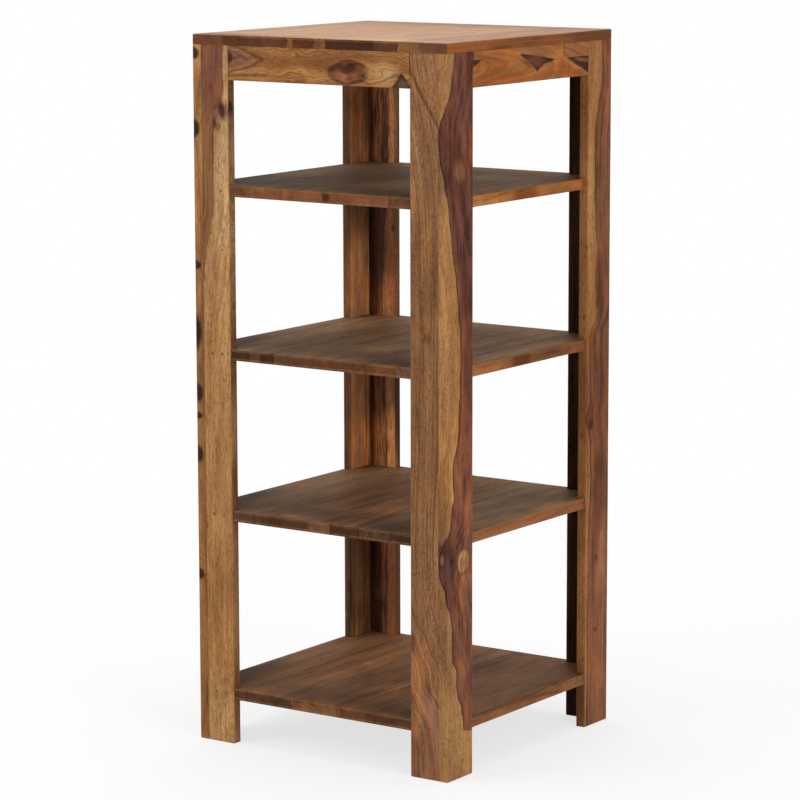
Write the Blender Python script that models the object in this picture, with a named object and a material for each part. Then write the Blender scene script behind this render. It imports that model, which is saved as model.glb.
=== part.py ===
"""Open display shelf in solid rosewood, built board by board.

Metres, +Z up. The origin is on the floor under the middle of the shelf.
The front faces -Y and the right-hand side faces +X.
"""
import math

import bmesh
import bpy

# Overall size, over the legs and the top
WIDTH = 0.450
DEPTH = 0.440
HEIGHT = 1.060

# Boards of the L-shaped legs and of the apron frame
LEG_WIDTH = 0.065
BOARD_THICKNESS = 0.016
APRON_HEIGHT = 0.051

# Plank top, flush with the legs
TOP_THICKNESS = 0.015

# Plank shelves: upper faces, and how far their edges stay behind the legs
SHELF_THICKNESS = 0.017
LOWEST_SHELF_TOP = 0.085
LOWEST_BAY_PITCH = 0.272
UPPER_BAY_PITCH = 0.242
SHELF_END_INSET = 0.0005
SHELF_SIDE_INSETS = (0.0005, 0.003, 0.003, 0.007)

# Random-width planks of each panel, left to right, as parts of its width
TOP_PLANKS = (0.190, 0.190, 0.153, 0.276, 0.191)
SHELF_PLANKS = (
    (0.190, 0.183, 0.205, 0.138, 0.284),
    (0.260, 0.278, 0.115, 0.170, 0.177),
    (0.313, 0.160, 0.165, 0.164, 0.198),
    (0.190, 0.160, 0.165, 0.267, 0.218),
)
SHELF_COUNT = len(SHELF_PLANKS)

# Corner blocks inside the apron frame
BLOCK_REACH_ON_APRON = 0.030
BLOCK_RISE = 0.012
BLOCK_TIP = 0.010

# Nails through the front and back leg boards into the shelves. They come in
# pairs, side by side, and the outer one of each pair is made here.
NAIL_PAIR_PITCH = 0.018
NAIL_LENGTH = 0.040
NAIL_SHANK = 0.0022
NAIL_HEAD = 0.0032
NAIL_HEAD_HEIGHT = 0.0012
NAIL_NECK = 0.0006
NAIL_POINT = 0.003
NAIL_TIP = 0.0006
NAIL_SET = 0.0006
NAIL_SIDES = 12
SMOOTH_UP_TO = math.radians(30)

# Glue lines and running fits, and the rounding of the sanded edges
GLUE_GAP = 0.0003
EDGE_ROUND = 0.002
ROUND_STEPS = 2

# Linear colours of the timber and the metal
GOLDEN = (0.360, 0.175, 0.062)
AMBER = (0.300, 0.125, 0.040)
RUSSET = (0.200, 0.072, 0.034)
PURPLE_BROWN = (0.085, 0.036, 0.026)
UMBER = (0.150, 0.085, 0.052)
BLOCK_PINE = (0.520, 0.350, 0.170)
STEEL = (0.450, 0.440, 0.420)

TOP_TONES = (UMBER, AMBER, RUSSET, PURPLE_BROWN, UMBER)
SHELF_TONES = (UMBER, RUSSET, UMBER, PURPLE_BROWN, AMBER)
SATIN = 0.38
RAW_WOOD = 0.75
BRIGHT_WIRE = 0.35

HALF_WIDTH = WIDTH / 2
HALF_DEPTH = DEPTH / 2
TOP_UNDERSIDE = HEIGHT - TOP_THICKNESS
LEG_TOP = TOP_UNDERSIDE - GLUE_GAP
SIDES = (("left", -1), ("right", 1))
ENDS = (("front", -1), ("back", 1))
TOLERANCE = 1e-5


def clear_scene():
    """Take every object out of the scene."""
    for item in list(bpy.data.objects):
        bpy.data.objects.remove(item, do_unlink=True)


def finish(item, colour, roughness, metallic=0.0):
    """Give one piece its own finish."""
    material = bpy.data.materials.new(item.name + "_finish")
    material.use_nodes = True
    shader = material.node_tree.nodes["Principled BSDF"]
    shader.inputs["Base Color"].default_value = (*colour, 1.0)
    shader.inputs["Roughness"].default_value = roughness
    shader.inputs["Metallic"].default_value = metallic
    item.data.materials.append(material)


def new_piece(name, shape, location, parent):
    """Turn a finished bmesh into a named piece under its parent."""
    bmesh.ops.recalc_face_normals(shape, faces=shape.faces)
    mesh = bpy.data.meshes.new(name)
    shape.to_mesh(mesh)
    shape.free()
    item = bpy.data.objects.new(name, mesh)
    bpy.context.scene.collection.objects.link(item)
    item.location = location
    item.parent = parent
    return item


def round_edges(shape, edges):
    """Round the chosen edges as sanding does."""
    bmesh.ops.bevel(
        shape,
        geom=edges,
        offset=EDGE_ROUND,
        offset_type="OFFSET",
        segments=ROUND_STEPS,
        profile=0.5,
        affect="EDGES",
        clamp_overlap=True,
    )


def edge_side(middle, size):
    """Say where an edge of a board lies: -1, 0 or 1 along X, Y and Z."""
    return tuple(
        0 if abs(place) < extent / 4 else int(math.copysign(1, place))
        for place, extent in zip(middle, size)
    )


def board(name, low, high, rounded, parent):
    """Make one straight board between two corners, some of its edges rounded.

    rounded holds edge places: (1, -1, 0) is the upright edge at +X and -Y.
    """
    size = [far - near for near, far in zip(low, high)]
    centre = [(near + far) / 2 for near, far in zip(low, high)]
    shape = bmesh.new()
    bmesh.ops.create_cube(shape, size=1.0)
    bmesh.ops.scale(shape, verts=shape.verts, vec=size)
    chosen = []
    for edge in shape.edges:
        middle = (edge.verts[0].co + edge.verts[1].co) / 2
        if edge_side(middle, size) in rounded:
            chosen.append(edge)
    round_edges(shape, chosen)
    return new_piece(name, shape, centre, parent)


def span(outer, inner):
    """Order two coordinates from low to high."""
    return (outer, inner) if outer < inner else (inner, outer)


def leg_side_board(side, sx, end, sy, parent):
    """Make the leg board that lies in the shelf's side plane."""
    x_low, x_high = span(sx * HALF_WIDTH, sx * (HALF_WIDTH - BOARD_THICKNESS))
    y_low, y_high = span(sy * HALF_DEPTH, sy * (HALF_DEPTH - LEG_WIDTH))
    rounded = {(sx, sy, 0), (sx, -sy, 0), (-sx, -sy, 0), (sx, 0, -1), (0, -sy, -1), (0, sy, -1)}
    name = f"{end}_{side}_leg_side_board"
    item = board(name, (x_low, y_low, 0.0), (x_high, y_high, LEG_TOP), rounded, parent)
    finish(item, RUSSET if side == "right" else UMBER, SATIN)
    return item


def leg_end_board(side, sx, end, sy, parent):
    """Make the leg board that lies in the front or back plane."""
    outer_x = sx * (HALF_WIDTH - BOARD_THICKNESS - GLUE_GAP)
    x_low, x_high = span(outer_x, sx * (HALF_WIDTH - LEG_WIDTH))
    y_low, y_high = span(sy * HALF_DEPTH, sy * (HALF_DEPTH - BOARD_THICKNESS))
    rounded = {(-sx, sy, 0), (-sx, -sy, 0), (0, sy, -1), (0, -sy, -1), (-sx, 0, -1)}
    name = f"{end}_{side}_leg_{end}_board"
    item = board(name, (x_low, y_low, 0.0), (x_high, y_high, LEG_TOP), rounded, parent)
    finish(item, GOLDEN if end == "front" else PURPLE_BROWN, SATIN)
    return item


def end_apron(end, sy, parent):
    """Make the apron board at the front or the back, between two legs."""
    half = HALF_WIDTH - LEG_WIDTH - GLUE_GAP
    y_low, y_high = span(sy * HALF_DEPTH, sy * (HALF_DEPTH - BOARD_THICKNESS))
    low = (-half, y_low, TOP_UNDERSIDE - APRON_HEIGHT)
    high = (half, y_high, LEG_TOP)
    item = board(f"{end}_apron", low, high, {(0, -1, -1), (0, 1, -1)}, parent)
    finish(item, GOLDEN, SATIN)


def side_apron(side, sx, parent):
    """Make the apron board at the left or the right, between two legs."""
    half = HALF_DEPTH - LEG_WIDTH - GLUE_GAP
    x_low, x_high = span(sx * HALF_WIDTH, sx * (HALF_WIDTH - BOARD_THICKNESS))
    low = (x_low, -half, TOP_UNDERSIDE - APRON_HEIGHT)
    high = (x_high, half, LEG_TOP)
    item = board(f"{side}_apron", low, high, {(-1, 0, -1), (1, 0, -1)}, parent)
    finish(item, AMBER, SATIN)


def plank_joints(shares, half_width):
    """Work out the low and high X of each plank from its part of the width."""
    pieces = []
    low = -half_width
    for number, share in enumerate(shares):
        high = low + 2 * half_width * share / sum(shares)
        first = number == 0
        last = number == len(shares) - 1
        pieces.append((low if first else low + GLUE_GAP / 2, high if last else high - GLUE_GAP / 2))
        low = high
    return pieces


def notched_outline(x_low, x_high, half_depth):
    """Trace a shelf plank seen from above, notched where it meets the legs.

    Walks along the back of the plank, then returns along its front.
    """
    free = HALF_WIDTH - LEG_WIDTH - GLUE_GAP
    inside = HALF_WIDTH - BOARD_THICKNESS - GLUE_GAP
    breaks = [x_low] + [x for x in (-inside, -free, free, inside) if x_low < x < x_high] + [x_high]
    back = []
    for start, stop in zip(breaks, breaks[1:]):
        middle = abs(start + stop) / 2
        if middle > inside:
            reach = HALF_DEPTH - LEG_WIDTH - GLUE_GAP
        elif middle > free:
            reach = HALF_DEPTH - BOARD_THICKNESS - GLUE_GAP
        else:
            reach = half_depth
        back += [(start, reach), (stop, reach)]
    return back + [(x, -y) for x, y in reversed(back)]


def plank(name, outline, bottom, thickness, half_width, half_depth, parent):
    """Raise one plank from its outline and round its free edges."""
    shape = bmesh.new()
    corners = [shape.verts.new((x, y, 0.0)) for x, y in outline]
    face = shape.faces.new(corners)
    raised = bmesh.ops.extrude_face_region(shape, geom=[face])
    lifted = [item for item in raised["geom"] if isinstance(item, bmesh.types.BMVert)]
    bmesh.ops.translate(shape, verts=lifted, vec=(0.0, 0.0, thickness))
    free_edges = []
    for edge in shape.edges:
        first, second = edge.verts[0].co, edge.verts[1].co
        level = abs(first.z - second.z) < TOLERANCE
        middle = (first + second) / 2
        on_end = abs(abs(middle.y) - half_depth) < TOLERANCE
        on_side = abs(abs(middle.x) - half_width) < TOLERANCE
        if level and (on_end or on_side):
            free_edges.append(edge)
    round_edges(shape, free_edges)
    return new_piece(name, shape, (0.0, 0.0, bottom), parent)


def top_panel(parent):
    """Make the top from full-depth planks, flush with the legs."""
    for number, (x_low, x_high) in enumerate(plank_joints(TOP_PLANKS, HALF_WIDTH)):
        outline = [(x_low, HALF_DEPTH), (x_high, HALF_DEPTH), (x_high, -HALF_DEPTH), (x_low, -HALF_DEPTH)]
        name = f"top_plank_{number + 1}"
        item = plank(name, outline, TOP_UNDERSIDE, TOP_THICKNESS, HALF_WIDTH, HALF_DEPTH, parent)
        finish(item, TOP_TONES[number], SATIN)


def shelf_top(level):
    """Give the height of a shelf's upper face, level 0 the lowest."""
    if level == 0:
        return LOWEST_SHELF_TOP
    return LOWEST_SHELF_TOP + LOWEST_BAY_PITCH + (level - 1) * UPPER_BAY_PITCH


def shelf_panel(level, bores, parent):
    """Make one shelf from planks that fill the inside of each leg."""
    half_width = HALF_WIDTH - SHELF_SIDE_INSETS[level]
    half_depth = HALF_DEPTH - SHELF_END_INSET
    bottom = shelf_top(level) - SHELF_THICKNESS
    for number, (x_low, x_high) in enumerate(plank_joints(SHELF_PLANKS[level], half_width)):
        outline = notched_outline(x_low, x_high, half_depth)
        name = f"shelf_{level + 1}_plank_{number + 1}"
        item = plank(name, outline, bottom, SHELF_THICKNESS, half_width, half_depth, parent)
        finish(item, SHELF_TONES[number], SATIN)
        cut_bores(item, bores)


def corner_block(side, sx, end, sy, parent):
    """Make the three-cornered block that ties leg, aprons and top together."""
    reach = LEG_WIDTH - BOARD_THICKNESS + BLOCK_REACH_ON_APRON
    outline = [(0.0, 0.0), (reach, 0.0), (reach, BLOCK_TIP), (BLOCK_TIP, reach), (0.0, reach)]
    shape = bmesh.new()
    corners = [shape.verts.new((-sx * x, -sy * y, 0.0)) for x, y in outline]
    face = shape.faces.new(corners)
    raised = bmesh.ops.extrude_face_region(shape, geom=[face])
    lifted = [item for item in raised["geom"] if isinstance(item, bmesh.types.BMVert)]
    bmesh.ops.translate(shape, verts=lifted, vec=(0.0, 0.0, APRON_HEIGHT - BLOCK_RISE - GLUE_GAP))
    inside_x = sx * (HALF_WIDTH - BOARD_THICKNESS - GLUE_GAP)
    inside_y = sy * (HALF_DEPTH - BOARD_THICKNESS - GLUE_GAP)
    place = (inside_x, inside_y, TOP_UNDERSIDE - APRON_HEIGHT + BLOCK_RISE)
    item = new_piece(f"{end}_{side}_corner_block", shape, place, parent)
    finish(item, BLOCK_PINE, RAW_WOOD)


def turned(name, profile, location, sy, parent):
    """Turn a closed round piece whose axis runs in from the front or back.

    profile lists (distance along the axis, radius), outer end first.
    """
    shape = bmesh.new()
    rings = []
    for along, radius in profile:
        ring = []
        for step in range(NAIL_SIDES):
            angle = 2 * math.pi * step / NAIL_SIDES
            ring.append(shape.verts.new((radius * math.cos(angle), radius * math.sin(angle), along)))
        rings.append(ring)
    for near, far in zip(rings, rings[1:]):
        for step in range(NAIL_SIDES):
            following = (step + 1) % NAIL_SIDES
            shape.faces.new((near[step], near[following], far[following], far[step]))
    shape.faces.new(rings[0])
    shape.faces.new(rings[-1])
    item = new_piece(name, shape, location, parent)
    item.rotation_euler = (math.radians(90) * sy, 0.0, 0.0)
    return item


def nail_place(level, sx, sy):
    """Find the middle of a nail's head, on the face of its leg board."""
    across = HALF_WIDTH - (BOARD_THICKNESS + LEG_WIDTH) / 2 + NAIL_PAIR_PITCH / 2
    height = shelf_top(level) - SHELF_THICKNESS / 2
    return (sx * across, sy * HALF_DEPTH, height)


def nail(level, side, sx, end, sy, parent):
    """Make the nail that holds one corner of a shelf to its leg."""
    shank = NAIL_SHANK / 2
    shoulder = NAIL_SET + NAIL_HEAD_HEIGHT
    tip = NAIL_SET + NAIL_LENGTH
    profile = [
        (NAIL_SET, NAIL_HEAD / 2),
        (shoulder, NAIL_HEAD / 2),
        (shoulder + NAIL_NECK, shank),
        (tip - NAIL_POINT, shank),
        (tip, NAIL_TIP / 2),
    ]
    name = f"shelf_{level + 1}_{end}_{side}_nail"
    item = turned(name, profile, nail_place(level, sx, sy), sy, parent)
    item.data.shade_smooth()
    item.data.set_sharp_from_angle(angle=SMOOTH_UP_TO)
    finish(item, STEEL, BRIGHT_WIRE, metallic=1.0)


def nail_bore(level, side, sx, end, sy, parent):
    """Make the guide solid for the hole that a nail goes through."""
    head = NAIL_HEAD / 2 + GLUE_GAP
    shank = NAIL_SHANK / 2 + GLUE_GAP
    shoulder = NAIL_SET + NAIL_HEAD_HEIGHT + NAIL_NECK + GLUE_GAP
    tip = NAIL_SET + NAIL_LENGTH + GLUE_GAP
    profile = [(-NAIL_HEAD, head), (shoulder, head), (shoulder, shank), (tip, shank)]
    item = turned(f"bore_{level + 1}_{end}_{side}", profile, nail_place(level, sx, sy), sy, parent)
    item.hide_render = True
    item.display_type = "WIRE"
    return item


def cut_bores(item, bores):
    """Drill the bores of one group into a piece."""
    modifier = item.modifiers.new("bores", "BOOLEAN")
    modifier.operation = "DIFFERENCE"
    modifier.solver = "EXACT"
    modifier.operand_type = "COLLECTION"
    modifier.collection = bores


def bore_group(name):
    """Open a group that gathers the bores of one leg or one shelf."""
    group = bpy.data.collections.new(name)
    bpy.context.scene.collection.children.link(group)
    return group


def build():
    """Build the whole shelf under one empty."""
    clear_scene()
    shelf_unit = bpy.data.objects.new("shelf_unit", None)
    bpy.context.scene.collection.objects.link(shelf_unit)
    shelf_bores = [bore_group(f"bores_of_shelf_{level + 1}") for level in range(SHELF_COUNT)]
    for end, sy in ENDS:
        for side, sx in SIDES:
            leg_bores = bore_group(f"bores_of_{end}_{side}_leg")
            for level in range(SHELF_COUNT):
                bore = nail_bore(level, side, sx, end, sy, shelf_unit)
                leg_bores.objects.link(bore)
                shelf_bores[level].objects.link(bore)
                nail(level, side, sx, end, sy, shelf_unit)
            leg_side_board(side, sx, end, sy, shelf_unit)
            cut_bores(leg_end_board(side, sx, end, sy, shelf_unit), leg_bores)
            corner_block(side, sx, end, sy, shelf_unit)
        end_apron(end, sy, shelf_unit)
    for side, sx in SIDES:
        side_apron(side, sx, shelf_unit)
    top_panel(shelf_unit)
    for level in range(SHELF_COUNT):
        shelf_panel(level, shelf_bores[level], shelf_unit)


build()
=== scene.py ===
"""Dress the open rosewood display shelf and set it up for its portrait.

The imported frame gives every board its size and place. Each one is worked again
here as a sawn, eased and sanded board of the same size, and is finished in
rosewood whose rings, heartwood and knots lie as they do in the real boards.
Metres, +Z up. The front faces -Y and the right-hand side faces +X.
"""

import logging
import math
import random
from collections.abc import Callable, Iterable, Mapping, Sequence
from dataclasses import asdict, dataclass, replace
from enum import Enum

import bmesh
import bpy
from mathutils import Matrix, Vector

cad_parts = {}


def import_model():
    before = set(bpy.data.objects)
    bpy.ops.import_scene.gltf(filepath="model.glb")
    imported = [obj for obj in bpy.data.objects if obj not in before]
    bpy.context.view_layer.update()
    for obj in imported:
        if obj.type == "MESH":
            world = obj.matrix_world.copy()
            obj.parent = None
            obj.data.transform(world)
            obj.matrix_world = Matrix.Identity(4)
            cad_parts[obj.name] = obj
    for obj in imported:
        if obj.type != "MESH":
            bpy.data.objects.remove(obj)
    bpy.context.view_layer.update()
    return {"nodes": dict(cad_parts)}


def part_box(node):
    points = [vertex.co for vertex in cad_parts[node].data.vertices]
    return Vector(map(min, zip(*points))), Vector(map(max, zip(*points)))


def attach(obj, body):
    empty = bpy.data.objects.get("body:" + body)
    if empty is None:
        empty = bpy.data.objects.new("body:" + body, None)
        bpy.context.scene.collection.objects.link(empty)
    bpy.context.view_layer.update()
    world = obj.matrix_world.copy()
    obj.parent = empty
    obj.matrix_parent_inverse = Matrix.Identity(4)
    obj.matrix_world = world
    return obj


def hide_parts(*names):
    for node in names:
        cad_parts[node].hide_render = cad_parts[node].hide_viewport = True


LOG = logging.getLogger("display_shelf")

Colour = tuple[float, float, float]
Socket = bpy.types.NodeSocket
Feed = float | Sequence[float] | Socket
Arris = tuple[int, int, int]

MM = 0.001
TOUCH = 1e-5
FLAT = 0.9999
ORDER_WEIGHTS = (1.0, 3.7183, 11.317)
ARRIS_REACH = 2.2 * MM
WEAR_REACH = 4.0 * MM
SEAM_REACH = 2.5 * MM
RUBBING_SCALE = 30 * MM
SMOOTH_ANGLE = math.radians(30.0)
QUARTER_TURN = math.pi / 2
SEED_STEPS = (1.7, 2.3, 3.1)
SEED_SPAN = 7.0
PLANK_SEED = 100
PANEL_SEED_STEP = 10
BODY = "root"
SHELF_COUNT = 4
PLANK_COUNT = 5


class End(Enum):
    """The two ends of the shelf along Y."""

    FRONT = "front"
    BACK = "back"

    @property
    def sign(self) -> int:
        """Give the end's direction along Y."""
        return -1 if self is End.FRONT else 1


class Side(Enum):
    """The two sides of the shelf along X."""

    LEFT = "left"
    RIGHT = "right"

    @property
    def sign(self) -> int:
        """Give the side's direction along X."""
        return -1 if self is Side.LEFT else 1


class Grain(Enum):
    """How a board lies: the axes across its face, through it and along its grain."""

    SIDE_POST = (1, 0, 2)
    END_POST = (0, 1, 2)
    END_RAIL = (2, 1, 0)
    SIDE_RAIL = (2, 0, 1)
    PLANK = (0, 2, 1)

    @property
    def along(self) -> int:
        """Give the axis that the grain runs along."""
        return self.value[2]


@dataclass(frozen=True)
class Palette:
    """The linear colours of one log's heartwood and sapwood."""

    heart_dark: Colour
    heart_mid: Colour
    heart_light: Colour
    sap_dark: Colour
    sap_light: Colour


class Timber(Enum):
    """The logs that the boards come from."""

    PLUM = Palette((0.078, 0.030, 0.018), (0.185, 0.073, 0.037), (0.270, 0.115, 0.057),
                   (0.300, 0.142, 0.050), (0.570, 0.350, 0.162))
    OXBLOOD = Palette((0.052, 0.016, 0.011), (0.150, 0.050, 0.029), (0.255, 0.093, 0.043),
                      (0.270, 0.120, 0.042), (0.480, 0.250, 0.090))
    RUSSET = Palette((0.086, 0.027, 0.012), (0.218, 0.079, 0.032), (0.314, 0.124, 0.048),
                     (0.260, 0.104, 0.033), (0.390, 0.178, 0.060))
    OLIVE = Palette((0.100, 0.042, 0.022), (0.230, 0.100, 0.050), (0.320, 0.150, 0.078),
                    (0.160, 0.070, 0.028), (0.335, 0.162, 0.070))
    GOLD = Palette((0.080, 0.028, 0.010), (0.190, 0.072, 0.024), (0.300, 0.128, 0.043),
                   (0.205, 0.080, 0.023), (0.455, 0.222, 0.074))
    AMBER = Palette((0.075, 0.021, 0.007), (0.190, 0.060, 0.015), (0.300, 0.104, 0.026),
                    (0.260, 0.082, 0.018), (0.500, 0.190, 0.044))
    DUSK = Palette((0.040, 0.015, 0.008), (0.150, 0.060, 0.026), (0.240, 0.102, 0.043),
                   (0.190, 0.078, 0.030), (0.310, 0.137, 0.053))
    CHESTNUT = Palette((0.110, 0.046, 0.019), (0.225, 0.100, 0.040), (0.335, 0.158, 0.064),
                       (0.225, 0.102, 0.041), (0.360, 0.178, 0.072))
    EBONY = Palette((0.024, 0.009, 0.005), (0.078, 0.031, 0.016), (0.145, 0.061, 0.030),
                    (0.130, 0.054, 0.024), (0.205, 0.090, 0.040))
    CINNAMON = Palette((0.200, 0.092, 0.036), (0.370, 0.172, 0.067), (0.520, 0.255, 0.100),
                       (0.390, 0.180, 0.070), (0.550, 0.275, 0.112))
    TAN = Palette((0.255, 0.125, 0.049), (0.375, 0.187, 0.072), (0.495, 0.262, 0.105),
                  (0.330, 0.165, 0.065), (0.460, 0.250, 0.105))
    COPPER = Palette((0.160, 0.070, 0.026), (0.285, 0.130, 0.048), (0.400, 0.190, 0.070),
                     (0.300, 0.135, 0.050), (0.420, 0.205, 0.080))
    # A grey-brown log. Its grey also paints in the grey sheen of the satin finish on the highest shelf, so it
    # is partly painted reflection.
    MOSS_SHEEN = Palette((0.090, 0.053, 0.027), (0.175, 0.106, 0.054), (0.265, 0.165, 0.086),
                   (0.180, 0.110, 0.055), (0.270, 0.165, 0.085))
    UMBER = Palette((0.105, 0.054, 0.025), (0.220, 0.122, 0.058), (0.330, 0.190, 0.094),
                    (0.220, 0.122, 0.058), (0.330, 0.190, 0.094))
    BARK = Palette((0.100, 0.042, 0.018), (0.220, 0.103, 0.046), (0.330, 0.160, 0.073),
                   (0.220, 0.103, 0.046), (0.330, 0.160, 0.073))


@dataclass(frozen=True)
class Mark:
    """A knot, a wedge of dark heartwood, a pale patch or a patch of painted light and shade in a board, in
    millimetres.

    Attributes:
        across: Its middle across the board.
        along: Its middle along the grain.
        half_across: Half its size across the board.
        half_along: Half its size along the grain.
        colour: Its linear colour.
        power: 2 for a round mark, 1 for four straight points, less for hollow
            sides and more for a square one.
        strength: How much of the wood's own colour it hides.
        softness: How far its rim fades, as a part of its size.
        through: Its middle and half size through the board.
        turning: How far the rings bend round it, as a part of its size.
        stains: True where its colour multiplies the wood's own and hides nothing, as in stains and painted
            light and shade.
        cut: 1 where only its half at smaller places across is there.
        slant: How far it leans across the board for each step along the grain.
        ragged: How rough its rim is.
        facing: The board's own axis that its face looks along, 0 across, 1
            through and 2 along, where it shows on one kind of face only.
    """

    across: float
    along: float
    half_across: float
    half_along: float
    colour: Colour
    power: float = 2.0
    strength: float = 0.95
    softness: float = 0.25
    through: tuple[float, float] = (0.0, 1e4)
    turning: float = 0.8
    stains: bool = False
    cut: int = 0
    slant: float = 0.0
    ragged: float = 1.0
    facing: int | None = None


def patch(*shape: float | Colour, **looks: object) -> Mark:
    """Draw a mark that leaves the rings straight, from its places, half sizes, colour and looks."""
    return Mark(*shape, turning=0.0, **looks)


def stain_and_shade(*shape: float | Colour, softness: float = 0.6, **looks: object) -> Mark:
    """Draw a soft patch whose colour multiplies the wood's own, for stains and for painted light and shade.
    """
    return patch(*shape, strength=1.0, softness=softness, stains=True, **looks)


def face_stain(*shape: float | Colour, softness: float = 0.6) -> Mark:
    """Draw a soft multiplying patch on a plank's flat faces only; shade uses it for painted light and shade.
    """
    return stain_and_shade(*shape, softness=softness, facing=1)


def shade(*shape: float | Colour) -> Mark:
    """Draw a broad and very soft lighter or darker patch on a panel's flat faces, mostly painted light and
    shade.
    """
    return face_stain(*shape, softness=0.8)


def end_stain(start: float, stop: float, colour: Colour, softness: float = 0.2) -> Mark:
    """Draw a multiplying tint on a plank's front end, from one place across it to another."""
    return stain_and_shade((start + stop) / 2, -220.0, (stop - start) / 2, 60.0, colour, softness=softness, facing=2)


def edge_stain(start: float, stop: float, colour: Colour) -> Mark:
    """Draw a multiplying tint on a plank's right-hand edge, from one place along it to another."""
    return stain_and_shade(220.0, (start + stop) / 2, 60.0, (stop - start) / 2, colour, softness=0.4, facing=0)


@dataclass(frozen=True)
class Figure:
    """How a log's rings, heartwood and knots lie in one board.

    Attributes:
        timber: The log that the board comes from.
        seed: Picks the board's own grain.
        edge: The line where the heartwood ends, as points of (along, across)
            in millimetres. One point makes a straight line.
        heart_side: 1 where the heartwood lies at larger values across, or -1.
        lean: How far that line moves across the board per metre through it.
        face: The place through the board, in millimetres, of the line's points.
        pith_offset: How far into the heartwood the log's middle lies.
        pith_depth: How far the log's middle lies from the board's, through it.
        pith_slope: How much that depth changes along the board.
        heart_radius: Where the heartwood ends, from the log's middle. The
            pith offset if it is None.
        wander: How far the rings stray.
        curl: How far small swirls bend them.
        banding: How strongly the broad bands of the rings show.
        streaks: How strongly the fine streaks along the grain show.
        mottle: How strongly the cloudy patches show.
        hoops: How strongly the thin dark ring lines show.
        flecks: How strongly the short dark flecks show.
        rim: How dark the heartwood is along its end.
        joint: How dark the glue lines are.
        ends: The mean colour of the end grain, where it differs.
        edges: The mean colour of the board's long edges, where it differs.
        marks: Knots and patches.
    """

    timber: Timber
    seed: int
    edge: tuple[tuple[float, float], ...]
    heart_side: int = 1
    lean: float = 0.0
    face: float = 0.0
    pith_offset: float = 0.12
    pith_depth: float = 0.0
    pith_slope: float = 0.0
    heart_radius: float | None = None
    wander: float = 0.006
    curl: float = 0.0
    banding: float = 1.0
    streaks: float = 1.0
    mottle: float = 1.0
    hoops: float = 0.0
    flecks: float = 1.0
    rim: float = 0.5
    joint: float = 0.35
    ends: Colour | None = None
    edges: Colour | None = None
    marks: tuple[Mark, ...] = ()


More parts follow.
